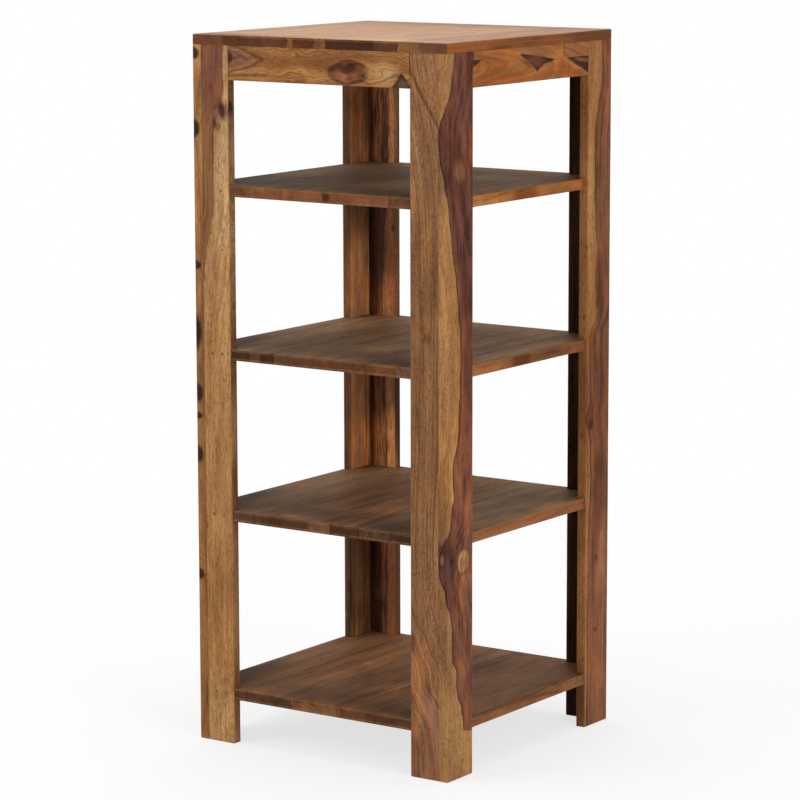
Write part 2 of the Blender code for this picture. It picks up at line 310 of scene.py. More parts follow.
class Wiring:
    """Adds shader nodes to one tree and links them."""

    def __init__(self, tree: bpy.types.NodeTree) -> None:
        """Keep the tree that the nodes go to."""
        self.tree = tree

    def node(self, kind: str, **settings: object) -> bpy.types.Node:
        """Add a node.

        Args:
            kind: The node's type name.
            settings: Its properties.

        Returns:
            The new node.
        """
        made = self.tree.nodes.new(kind)
        for name, value in settings.items():
            setattr(made, name, value)
        return made

    def feed(self, socket: Socket, value: Feed) -> None:
        """Link an input to another node's output, or set its value.

        Args:
            socket: The input.
            value: An output, a number, or the parts of a vector or a colour.
        """
        if isinstance(value, Socket):
            self.tree.links.new(value, socket)
        elif isinstance(value, (int, float)):
            socket.default_value = value
        elif socket.type == "RGBA":
            socket.default_value = (*value, 1.0)
        else:
            socket.default_value = tuple(value)

    def fill(self, sockets: Iterable[Socket], values: Iterable[Feed]) -> None:
        """Feed several inputs in order."""
        for socket, value in zip(sockets, values):
            self.feed(socket, value)

    def name_feeds(self, sockets: Mapping[str, Socket], values: Mapping[str, Feed]) -> None:
        """Feed several inputs by name."""
        for name, value in values.items():
            self.feed(sockets[name], value)

    def math(self, operation: str, *values: Feed, clamp: bool = False) -> Socket:
        """Work out one number from others.

        Args:
            operation: The Math node's operation.
            values: Its inputs in order.
            clamp: Keeps the result from 0 to 1.

        Returns:
            The result.
        """
        made = self.node("ShaderNodeMath", operation=operation, use_clamp=clamp)
        self.fill(made.inputs, values)
        return made.outputs[0]

    def total(self, *values: Feed) -> Feed:
        """Add numbers up."""
        result = values[0]
        for value in values[1:]:
            result = self.math("ADD", result, value)
        return result

    def times(self, first: Feed, second: Feed) -> Socket:
        """Multiply two numbers."""
        return self.math("MULTIPLY", first, second)

    def less(self, first: Feed, second: Feed) -> Socket:
        """Take the second number from the first."""
        return self.math("SUBTRACT", first, second)

    def distance(self, first: Feed, second: Feed) -> Socket:
        """Tell how far apart two numbers are."""
        return self.math("ABSOLUTE", self.less(first, second))

    def centred(self, value: Feed, size: Feed) -> Socket:
        """Turn a level from 0 to 1 into one about 0, of the given size."""
        return self.times(self.less(value, 0.5), size)

    def vector_math(self, operation: str, *values: Feed) -> bpy.types.Node:
        """Work on vectors.

        Args:
            operation: The Vector Math node's operation.
            values: One or two vectors.

        Returns:
            The node, because some operations give a number and some a vector.
        """
        made = self.node("ShaderNodeVectorMath", operation=operation)
        self.fill(made.inputs, values)
        return made

    def step(self, value: Feed, low: Feed, high: Feed, first: Feed = 0.0, last: Feed = 1.0) -> Socket:
        """Lead a value smoothly from one level to another.

        Args:
            value: The value that is followed.
            low: Where the change starts.
            high: Where it ends.
            first: The level before it.
            last: The level after it.

        Returns:
            The level.
        """
        made = self.node("ShaderNodeMapRange", interpolation_type="SMOOTHSTEP")
        self.fill(made.inputs, (value, low, high, first, last))
        return made.outputs[0]

    def share(self, value: Feed, low: float, high: float) -> Socket:
        """Tell how far a value has come from one number to another, from 0 to 1."""
        made = self.node("ShaderNodeMapRange")
        self.fill(made.inputs, (value, low, high))
        return made.outputs[0]

    def blend(self, amount: Feed, first: Feed, second: Feed) -> Socket:
        """Blend two numbers."""
        made = self.node("ShaderNodeMix", data_type="FLOAT", clamp_factor=True)
        self.fill((made.inputs[0], made.inputs[2], made.inputs[3]), (amount, first, second))
        return made.outputs[0]

    def tint(self, amount: Feed, first: Feed, second: Feed, way: str = "MIX") -> Socket:
        """Blend two colours.

        Args:
            amount: How much of the second colour shows.
            first: The colour underneath.
            second: The colour on top.
            way: The Mix node's blend type.

        Returns:
            The blended colour.
        """
        made = self.node("ShaderNodeMix", data_type="RGBA", blend_type=way, clamp_factor=True)
        self.fill((made.inputs[0], made.inputs[6], made.inputs[7]), (amount, first, second))
        return made.outputs[2]

    def pattern(
        self, place: Feed, waves: Sequence[float], detail: float = 1.0, rough: float = 0.5,
    ) -> bpy.types.Node:
        """Add a noise pattern.

        Args:
            place: The point to read it at, in metres.
            waves: Waves per metre along each axis.
            detail: How many finer layers it has.
            rough: How strong they are.

        Returns:
            The noise node.
        """
        scaled = self.vector_math("MULTIPLY", place, waves).outputs[0]
        made = self.node("ShaderNodeTexNoise")
        self.name_feeds(made.inputs, {"Vector": scaled, "Scale": 1.0, "Detail": detail, "Roughness": rough})
        return made

    def noise(self, *pattern: Feed) -> Socket:
        """Give the level of a noise pattern, from 0 to 1."""
        return self.pattern(*pattern).outputs["Fac"]

    def noises(self, *pattern: Feed) -> tuple[Socket, ...]:
        """Give the levels of three noise patterns of one kind."""
        return self.split(self.pattern(*pattern).outputs["Color"])

    def join(self, *parts: Feed) -> Socket:
        """Make a vector of three numbers."""
        made = self.node("ShaderNodeCombineXYZ")
        self.fill(made.inputs, parts)
        return made.outputs[0]

    def split(self, vector: Feed) -> tuple[Socket, ...]:
        """Give the three numbers of a vector."""
        made = self.node("ShaderNodeSeparateXYZ")
        self.feed(made.inputs[0], vector)
        return tuple(made.outputs)


class Coat(Wiring):
    """The node tree of one new material.

    Attributes:
        material: The material.
        place: The point that is coloured, in the board's own metres.
    """

    def __init__(self, name: str) -> None:
        """Start the material.

        Args:
            name: Its name.
        """
        self.material = bpy.data.materials.new(name)
        self.material.use_nodes = True
        super().__init__(self.material.node_tree)
        self.place = self.node("ShaderNodeTexCoord").outputs["Object"]

    def look(self, values: Mapping[str, Feed]) -> None:
        """Feed the shader.

        Args:
            values: What each of its inputs takes, by name.
        """
        self.name_feeds(self.tree.nodes["Principled BSDF"].inputs, values)

    def relief(self, height: Feed, depth: float) -> None:
        """Let a pattern raise and sink the surface.

        Args:
            height: The pattern's level.
            depth: How far the surface moves, in metres.
        """
        bump = self.node("ShaderNodeBump")
        self.name_feeds(bump.inputs, {"Strength": 1.0, "Distance": depth, "Height": height})
        self.look({"Normal": bump.outputs[0]})


class Recipe:
    """A node group that many finishes share."""

    KINDS = {"values": "NodeSocketFloat", "vectors": "NodeSocketVector", "colours": "NodeSocketColor"}

    def __init__(self, name: str, takes: Mapping[str, str], gives: Mapping[str, str]) -> None:
        """Open the group with its inputs and outputs.

        Args:
            name: The group's name.
            takes: The names of its inputs, by kind.
            gives: The names of its outputs, by kind.
        """
        self.group = bpy.data.node_groups.new(name, "ShaderNodeTree")
        for way, sockets in (("INPUT", takes), ("OUTPUT", gives)):
            for kind, labels in sockets.items():
                for label in labels.split():
                    self.group.interface.new_socket(name=label, in_out=way, socket_type=self.KINDS[kind])
        self.wiring = Wiring(self.group)
        self.takes = self.wiring.node("NodeGroupInput").outputs
        self.gives = self.wiring.node("NodeGroupOutput").inputs

    def give(self, **values: Feed) -> None:
        """Feed the group's outputs by name."""
        self.wiring.name_feeds(self.gives, values)

    def use(self, wiring: Wiring, **values: Feed) -> bpy.types.bpy_prop_collection:
        """Put the group into a tree.

        Args:
            wiring: The tree that it goes into.
            values: Its inputs by name.

        Returns:
            Its outputs.
        """
        made = wiring.node("ShaderNodeGroup", node_tree=self.group)
        wiring.name_feeds(made.inputs, values)
        return made.outputs


class RosewoodRecipes:
    """The node groups that make rosewood: marks, rings, tone and surface.

    The waves are the noise waves per metre across, through and along a board.
    """

    STRAY_WAVES = (9.0, 9.0, 2.3)
    FRAY_WAVES = (75.0, 75.0, 13.0)
    SWIRL_WAVES = (58.0, 58.0, 30.0)
    BAND_WAVES = (62.0, 8.0, 1.7)
    STREAK_WAVES = (360.0, 60.0, 4.5)
    LINE_WAVES = (150.0, 10.0, 2.2)
    MOTTLE_WAVES = (52.0, 52.0, 17.0)
    FINE_FLECK_WAVES = (620.0, 620.0, 95.0)
    COARSE_FLECK_WAVES = (470.0, 470.0, 310.0)
    PATCH_WAVES = (22.0, 22.0, 9.0)
    PORE_WAVES = (1900.0, 1900.0, 210.0)
    SHEEN_WAVES = (26.0, 26.0, 7.0)
    HOOPS_PER_METRE = 170.0
    MARK_FALL = -0.7
    CUT_SLOPE = 5.0
    HEART_FRAY = 2.2 * MM
    RIM_FRAY = 1.2 * MM
    HEART_END = 0.6 * MM
    RIM_WIDTH = 3.5 * MM
    COOL_TINT = (0.86, 0.90, 1.04)
    WARM_TINT = (1.14, 1.01, 0.86)
    PORE_COLOUR = (0.030, 0.011, 0.006)
    RUBBED_COLOUR = (0.42, 0.22, 0.10)
    GLUE_COLOUR = (0.018, 0.008, 0.005)
    MOST_ROUGH = 0.95

    def __init__(self) -> None:
        """Build the four groups."""
        self.mark = self.make_mark()
        self.rings = self.make_rings()
        self.tone = self.make_tone()
        self.surface = self.make_surface()

    def make_mark(self) -> Recipe:
        """Measure how far a point is from a mark, 1 being its rim.

        Returns:
            The group. Its push bends the rings round the mark.
        """
        recipe = Recipe(
            "rosewood_mark",
            {"vectors": "place middle reach", "values": "power cut slant ragged turning"},
            {"values": "distance push"},
        )
        w, given = recipe.wiring, recipe.takes
        centred = w.vector_math("SUBTRACT", given["place"], given["middle"]).outputs[0]
        across, through, along = w.split(centred)
        offset = w.join(w.less(across, w.times(along, given["slant"])), through, along)
        shares = w.vector_math("DIVIDE", offset, given["reach"]).outputs[0]
        oval = w.vector_math("LENGTH", shares).outputs[1]
        sizes = w.split(w.vector_math("ABSOLUTE", shares).outputs[0])
        raised = w.total(*(w.math("POWER", size, given["power"]) for size in sizes))
        outline = w.math("POWER", raised, w.math("DIVIDE", 1.0, given["power"]))
        slope = w.times(given["cut"], self.CUT_SLOPE)
        flat = w.math("MULTIPLY_ADD", w.split(shares)[0], slope, w.math("ABSOLUTE", given["cut"]))
        shape = w.math("MAXIMUM", outline, flat)
        fall = w.math("EXPONENT", w.times(w.times(oval, oval), self.MARK_FALL))
        recipe.give(
            distance=w.total(shape, given["ragged"]),
            push=w.times(w.split(offset)[0], w.times(fall, given["turning"])),
        )
        return recipe

    def make_rings(self) -> Recipe:
        """Measure how deep a point lies in the log.

        Returns:
            The group. Its ring is 0 where the heartwood ends, and less inside.
        """
        recipe = Recipe(
            "rosewood_rings",
            {"vectors": "place seeded", "values": "edge side offset depth slope radius wander curl push"},
            {"values": "ring cloud fray"},
        )
        w, given = recipe.wiring, recipe.takes
        across, through, along = w.split(given["place"])
        stray = w.noises(given["seeded"], self.STRAY_WAVES, 1.5)
        fray = w.noise(given["seeded"], self.FRAY_WAVES, 2.0)
        stray_across = w.times(w.centred(stray[0], 2.0), given["wander"])
        stray_through = w.times(w.centred(stray[1], 3.0), given["wander"])
        inward = w.times(w.less(given["edge"], across), given["side"])
        reach = w.total(inward, given["offset"], stray_across, w.centred(fray, self.HEART_FRAY))
        pith = w.total(given["depth"], w.times(along, given["slope"]))
        level = w.total(w.less(through, pith), stray_through)
        radius = w.math("SQRT", w.total(w.times(reach, reach), w.times(level, level)))
        curl = w.centred(w.noise(given["seeded"], self.SWIRL_WAVES), w.times(given["curl"], 2.0))
        recipe.give(
            ring=w.total(w.less(radius, given["radius"]), given["push"], curl), cloud=stray[2], fray=fray,
        )
        return recipe

    def make_tone(self) -> Recipe:
        """Colour the heartwood and the sapwood by their rings.

        Returns:
            The group.
        """
        recipe = Recipe(
            "rosewood_tone",
            {"vectors": "seeded", "values": "ring cloud fray banding streaks mottle hoops rim",
             "colours": "heart_dark heart_mid heart_light sap_dark sap_light"},
            {"colours": "colour", "values": "streak heart"},
        )
        w, given = recipe.wiring, recipe.takes
        _, through, along = w.split(given["seeded"])
        flow = w.join(given["ring"], through, along)
        streak = w.noise(flow, self.STREAK_WAVES, 2.0, 0.6)
        line = w.step(w.distance(w.noise(flow, self.LINE_WAVES), 0.5), 0.006, 0.04, 1.0, 0.0)
        mottle = w.noises(given["seeded"], self.MOTTLE_WAVES, 3.0, 0.62)
        broad = w.times(w.centred(w.noise(flow, self.BAND_WAVES, 3.0, 0.6), 2.1), given["banding"])
        fine = w.times(w.total(w.centred(streak, 0.9), w.times(line, -0.3)), given["streaks"])
        blot = w.times(w.centred(mottle[0], 1.5), given["mottle"])
        cloud = w.times(w.centred(given["cloud"], 0.8), given["mottle"])
        turn = w.math("FRACT", w.times(given["ring"], self.HOOPS_PER_METRE))
        hoop = w.step(w.distance(turn, 0.5), 0.03, 0.16, 1.0, 0.0)
        shown = w.times(given["hoops"], w.step(mottle[2], 0.35, 0.6, 0.25, 1.0))
        hoop = w.times(w.times(hoop, shown), -0.5)
        depth = w.total(0.5, broad, fine, cloud, blot, hoop)
        darker = w.tint(w.step(depth, 0.05, 0.52), given["heart_dark"], given["heart_mid"])
        heartwood = w.tint(w.step(depth, 0.48, 0.95), darker, given["heart_light"])
        glow = w.total(
            0.5, w.times(broad, 0.62), fine, cloud, w.times(blot, 0.35), w.centred(given["fray"], 0.5), hoop,
        )
        sapwood = w.tint(w.step(glow, 0.1, 0.9), given["sap_dark"], given["sap_light"])
        uneven = w.total(given["ring"], w.centred(given["fray"], self.RIM_FRAY))
        heart = w.step(uneven, -self.HEART_END, self.HEART_END, 1.0, 0.0)
        rim = w.times(w.step(uneven, -self.RIM_WIDTH, -self.HEART_END), heart)
        warmth = w.tint(w.step(mottle[1], 0.36, 0.64), self.COOL_TINT, self.WARM_TINT)
        warmed = w.times(w.blend(heart, 0.45, 1.0), given["mottle"])
        whole = w.tint(warmed, w.tint(heart, sapwood, heartwood), warmth, "MULTIPLY")
        recipe.give(
            colour=w.tint(w.times(rim, given["rim"]), whole, given["heart_dark"]), streak=streak, heart=heart,
        )
        return recipe

    def make_surface(self) -> Recipe:
        """Add pores, flecks, worn arrises, glue lines and end grain.

        Returns:
            The group.
        """
        recipe = Recipe(
            "rosewood_surface",
            {"vectors": "seeded", "colours": "colour",
             "values": "streak heart flecks worn seam joint end thirst matt"},
            {"colours": "colour", "values": "roughness height"},
        )
        w, given = recipe.wiring, recipe.takes
        seeded = given["seeded"]
        fine = w.step(w.noise(seeded, self.FINE_FLECK_WAVES), 0.54, 0.68)
        coarse = w.step(w.noise(seeded, self.COARSE_FLECK_WAVES, 1.5), 0.54, 0.63)
        patchy = w.step(w.noise(seeded, self.PATCH_WAVES), 0.38, 0.62, 0.25, 1.0)
        fleck = w.math("MAXIMUM", fine, w.times(coarse, patchy))
        pore = w.step(w.noise(seeded, self.PORE_WAVES, 0.0), 0.60, 0.72)
        sheen = w.noise(seeded, self.SHEEN_WAVES, 2.0)
        flecked = w.times(fleck, w.times(given["flecks"], w.blend(given["heart"], 0.42, 0.20)))
        dark = w.total(flecked, w.times(pore, 0.16), w.times(given["end"], given["thirst"]))
        shaded = w.tint(dark, given["colour"], self.PORE_COLOUR)
        lively = w.tint(0.22, shaded, w.join(sheen, sheen, sheen), "OVERLAY")
        rub = w.times(given["worn"], w.step(sheen, 0.35, 0.7, 0.1, 0.5))
        rubbed = w.tint(rub, lively, w.tint(0.30, lively, self.RUBBED_COLOUR))
        glue = w.times(w.math("POWER", given["seam"], 5.0), given["joint"])
        rough = w.total(
            given["matt"], w.centred(given["streak"], 0.16), w.centred(sheen, 0.18), w.times(fleck, 0.07),
            w.times(pore, 0.12), w.times(given["end"], 0.2), w.times(given["worn"], -0.06),
        )
        height = w.total(
            w.times(fleck, -0.35), w.times(pore, -0.8), w.centred(given["streak"], 0.5),
            w.centred(sheen, 0.8),
        )
        recipe.give(
            colour=w.tint(glue, rubbed, self.GLUE_COLOUR), height=height,
            roughness=w.math("MINIMUM", rough, self.MOST_ROUGH),
        )
        return recipe


@dataclass(frozen=True)
class RosewoodFinish:
    """Solid rosewood under a clear satin finish.

    Attributes:
        recipes: The node groups that it is made of.
        gloss: The reflection of faces that look up, as the shader's specular level.
        edge_gloss: The same for upright faces.
        matt: The mean roughness.
        thirst: How much darker the end grain soaks the finish up.
        relief: The depth of pores and sanding marks.
        rim_waves: Waves per metre of the noise that roughens the rims of marks.
        rim_depth: How far it moves them, as a part of their size.
        mark_shadow: How dark the streaks inside a mark are.
    """

    recipes: RosewoodRecipes
    gloss: float = 0.05
    edge_gloss: float = 0.05
    matt: float = 0.43
    thirst: float = 0.30
    relief: float = 0.12 * MM
    rim_waves: tuple[float, float, float] = (95.0, 95.0, 40.0)
    rim_depth: float = 0.7
    mark_shadow: float = 0.45

    @staticmethod
    def edge_curve(w: Wiring, figure: Figure, along: Feed) -> Feed:
        """Lead the end of the heartwood through its points.

        Args:
            w: The board's node tree.
            figure: The board's figure.
            along: The place along the grain, in metres.

        Returns:
            The place across the board, in metres.
        """
        points = sorted(figure.edge)
        if len(points) == 1:
            return points[0][1] * MM
        places = [across for _, across in points]
        near, far = points[0][0], points[-1][0]
        low, high = min(places), max(places) + 1.0
        curve = w.node("ShaderNodeFloatCurve")
        track = curve.mapping.curves[0].points
        shares = [((place - near) / (far - near), (across - low) / (high - low)) for place, across in points]
        track[0].location = shares[0]
        track[1].location = shares[-1]
        for share in shares[1:-1]:
            track.new(*share)
        curve.mapping.update()
        w.feed(curve.inputs["Value"], w.share(along, near * MM, far * MM))
        return w.math("MULTIPLY_ADD", curve.outputs[0], (high - low) * MM, low * MM)

    def marks(self, w: Wiring, figure: Figure, place: Feed, ragged: Feed) -> tuple[list[Feed], Feed]:
        """Measure the board's marks.

        Args:
            w: The board's node tree.
            figure: The board's figure.
            place: The point in the board's own axes.
            ragged: Noise that roughens the rims.

        Returns:
            How much each mark shows, and the push of all of them on the rings.
        """
        shown, push = [], 0.0
        for mark in figure.marks:
            found = self.recipes.mark.use(
                w, place=place, power=mark.power, cut=float(mark.cut), slant=mark.slant,
                ragged=w.times(ragged, mark.ragged), turning=mark.turning,
                middle=(mark.across * MM, mark.through[0] * MM, mark.along * MM),
                reach=(mark.half_across * MM, mark.through[1] * MM, mark.half_along * MM),
            )
            fade = mark.softness
            shown.append(w.step(found["distance"], 1.0 - fade, 1.0 + fade, mark.strength, 0.0))
            push = found["push"] if push == 0.0 else w.total(push, found["push"])
        return shown, push

    @staticmethod
    def seam(w: Wiring, across: Feed, seams: Sequence[float]) -> Feed:
        """Tell how near a point is to a glue line.

        Args:
            w: The board's node tree.
            across: The point's place across the board.
            seams: The places of the glue lines across the board.

        Returns:
            1 on a glue line, falling to 0.
        """
        near: Feed = 0.0
        for place in seams:
            away = w.math("DIVIDE", w.distance(across, place), SEAM_REACH)
            level = w.math("SUBTRACT", 1.0, away, clamp=True)
            near = level if near == 0.0 else w.math("MAXIMUM", near, level)
        return near

    def colour(
        self, w: Wiring, figure: Figure, tone: Mapping[str, Socket], facing: Sequence[Socket],
        shown: Sequence[Socket],
    ) -> Socket:
        """Lay the board's end and edge colours and its marks over its rings.

        Args:
            w: The board's node tree.
            figure: The board's figure.
            tone: The rings' colour and streaks.
            facing: How far a point's face looks across, through and along the board.
            shown: How much each mark shows.

        Returns:
            The colour.
        """
        colour = tone["colour"]
        for way, look in ((2, figure.ends), (0, figure.edges)):
            if look is not None:
                change = tuple(part / own for part, own in zip(look, figure.timber.value.heart_mid))
                colour = w.tint(facing[way], colour, change, "MULTIPLY")
        for mark, amount in zip(figure.marks, shown):
            if mark.facing is not None:
                amount = w.times(amount, facing[mark.facing])
            if mark.stains:
                colour = w.tint(amount, colour, mark.colour, "MULTIPLY")
                continue
            deep = tuple(self.mark_shadow * part for part in mark.colour)
            own = w.tint(w.step(tone["streak"], 0.30, 0.60), deep, mark.colour)
            colour = w.tint(amount, colour, own)
        return colour

    def material(
        self, name: str, grain: Grain, figure: Figure, middle: Vector, seams: Sequence[float],
    ) -> bpy.types.Material:
        """Make the finish of one board.

        Args:
            name: The board's name.
            grain: How the board lies.
            figure: Its figure.
            middle: The board's middle.
            seams: The places of its glue lines across it.

        Returns:
            The material.
        """
        w = Coat(f"{name}_rosewood")
        axes = w.split(w.place)
        across, through, along = (axes[axis] for axis in grain.value)
        place = w.join(across, through, along)
        shift = tuple(step * figure.seed % SEED_SPAN for step in SEED_STEPS)
        seeded = w.vector_math("ADD", place, shift).outputs[0]
        ragged = w.centred(w.noise(seeded, self.rim_waves, 2.0), self.rim_depth)
        shown, push = self.marks(w, figure, place, ragged)
        edge = self.edge_curve(w, figure, along)
        if figure.lean:
            edge = w.total(edge, w.times(w.less(figure.face * MM, through), figure.lean))
        radius = figure.pith_offset if figure.heart_radius is None else figure.heart_radius
        depth = middle[grain.value[1]] + figure.pith_depth - figure.pith_slope * middle[grain.along]
        rings = self.recipes.rings.use(
            w, place=place, seeded=seeded, edge=edge, push=push, radius=radius, depth=depth,
            side=float(figure.heart_side), offset=figure.pith_offset, slope=figure.pith_slope,
            wander=figure.wander, curl=figure.curl,
        )
        tone = self.recipes.tone.use(
            w, seeded=seeded, ring=rings["ring"], cloud=rings["cloud"], fray=rings["fray"],
            banding=figure.banding, streaks=figure.streaks, mottle=figure.mottle, hoops=figure.hoops,
            rim=figure.rim, **asdict(figure.timber.value),
        )
        normal = w.split(w.node("ShaderNodeNewGeometry").outputs["Normal"])
        facing = [w.step(w.math("ABSOLUTE", normal[axis]), 0.6, 0.95) for axis in grain.value]
        surface = self.recipes.surface.use(
            w, colour=self.colour(w, figure, tone, facing, shown), seeded=seeded, streak=tone["streak"],
            heart=tone["heart"], flecks=figure.flecks, end=facing[2], thirst=self.thirst, matt=self.matt,
            worn=w.node("ShaderNodeAttribute", attribute_name="worn").outputs["Fac"],
            seam=self.seam(w, across, seams), joint=figure.joint,
        )
        polish: Feed = self.gloss
        if self.gloss != self.edge_gloss:
            polish = w.step(normal[2], 0.7, 0.98, self.edge_gloss, self.gloss)
        w.look({
            "Base Color": surface["colour"], "Roughness": surface["roughness"], "Specular IOR Level": polish,
        })
        w.relief(surface["height"], self.relief)
        return w.material


class PlainFinish:
    """A finish that is the same on each piece that it goes on."""

    def paint(self, w: Coat) -> None:
        """Lay the finish's pattern."""
        raise NotImplementedError

    def material(self, name: str) -> bpy.types.Material:
        """Make the finish.

        Args:
            name: The material's name.

        Returns:
            The material.
        """
        w = Coat(name)
        self.paint(w)
        return w.material


@dataclass(frozen=True)
class PineFinish(PlainFinish):
    """Raw softwood of the hidden corner blocks, straight off the saw."""

    early: Colour = (0.560, 0.385, 0.205)
    late: Colour = (0.360, 0.200, 0.085)
    rings_per_metre: float = 260.0
    ring_slope: float = 0.6
    drift_waves: tuple[float, float, float] = (18.0, 18.0, 18.0)
    drift: float = 20 * MM
    saw_waves: tuple[float, float, float] = (90.0, 90.0, 1400.0)
    matt: float = 0.72
    relief: float = 0.3 * MM

    def paint(self, w: Coat) -> None:
        """Lay the year rings and the marks of the saw."""
        drift = w.centred(w.noise(w.place, self.drift_waves, 2.0), self.drift)
        across, _, height = w.split(w.place)
        ring = w.total(w.times(across, self.ring_slope), height, drift)
        wave = w.math("FRACT", w.times(ring, self.rings_per_metre))
        saw = w.noise(w.place, self.saw_waves, 2.0)
        late = w.times(w.step(wave, 0.35, 0.95), w.step(saw, 0.3, 0.6, 0.6, 1.0))
        colour = w.tint(late, self.early, self.late)
        w.look({
            "Base Color": w.tint(w.step(saw, 0.55, 0.75, 0.0, 0.35), colour, self.late),
            "Roughness": w.total(self.matt, w.centred(saw, 0.25)),
        })
        w.relief(w.total(saw, w.times(late, 0.4)), self.relief)


@dataclass(frozen=True)
class NailFinish(PlainFinish):
    """Drawn wire of the nails, with the marks of the die along it."""

    bright: Colour = (0.480, 0.465, 0.440)
    tarnish: Colour = (0.240, 0.210, 0.180)
    die_waves: tuple[float, float, float] = (6000.0, 120.0, 6000.0)
    spot_waves: tuple[float, float, float] = (900.0, 900.0, 900.0)
    matt: float = 0.32
    relief: float = 0.03 * MM

    def paint(self, w: Coat) -> None:
        """Lay the marks of the die and the tarnish."""
        drawn = w.noise(w.place, self.die_waves, 2.0)
        spots = w.noise(w.place, self.spot_waves, 2.0)
        w.look({
            "Base Color": w.tint(w.step(spots, 0.5, 0.7), self.bright, self.tarnish), "Metallic": 1.0,
            "Roughness": w.total(self.matt, w.centred(drawn, 0.2), w.centred(spots, 0.2)),
        })
        w.relief(drawn, self.relief)


@dataclass(frozen=True)
class FillerFinish(PlainFinish):
    """Wood filler over the nail heads, a little darker than the wood round it."""

    paste: Colour = (0.235, 0.102, 0.043)
    dust: Colour = (0.135, 0.056, 0.025)
    grit_waves: tuple[float, float, float] = (1500.0, 1500.0, 1500.0)
    cloud_waves: tuple[float, float, float] = (260.0, 260.0, 260.0)
    matt: float = 0.7
    gloss: float = 0.05
    relief: float = 0.08 * MM

    def paint(self, w: Coat) -> None:
        """Lay the grit and the clouds of the paste."""
        grit = w.noise(w.place, self.grit_waves, 2.0)
        cloud = w.noise(w.place, self.cloud_waves)
        share = w.step(w.total(grit, w.centred(cloud, 0.6)), 0.35, 0.75)
        w.look({
            "Base Color": w.tint(share, self.paste, self.dust), "Specular IOR Level": self.gloss,
            "Roughness": w.total(self.matt, w.centred(grit, 0.3)),
        })
        w.relief(grit, self.relief)


def deselect_all() -> None:
    """Leave nothing selected, so that an operator meets only what is added next."""
    bpy.ops.object.select_all(action="DESELECT")


def select_only(item: bpy.types.Object) -> None:
    """Select one object and make it the active one."""
    deselect_all()
    item.select_set(True)
    bpy.context.view_layer.objects.active = item


def join_all(items: Sequence[bpy.types.Object]) -> bpy.types.Object:
    """Join objects into the first of them.

    Args:
        items: The objects.

    Returns:
        The joined object.
    """
    select_only(items[0])
    for item in items:
        item.select_set(True)
    bpy.ops.object.join()
    return items[0]


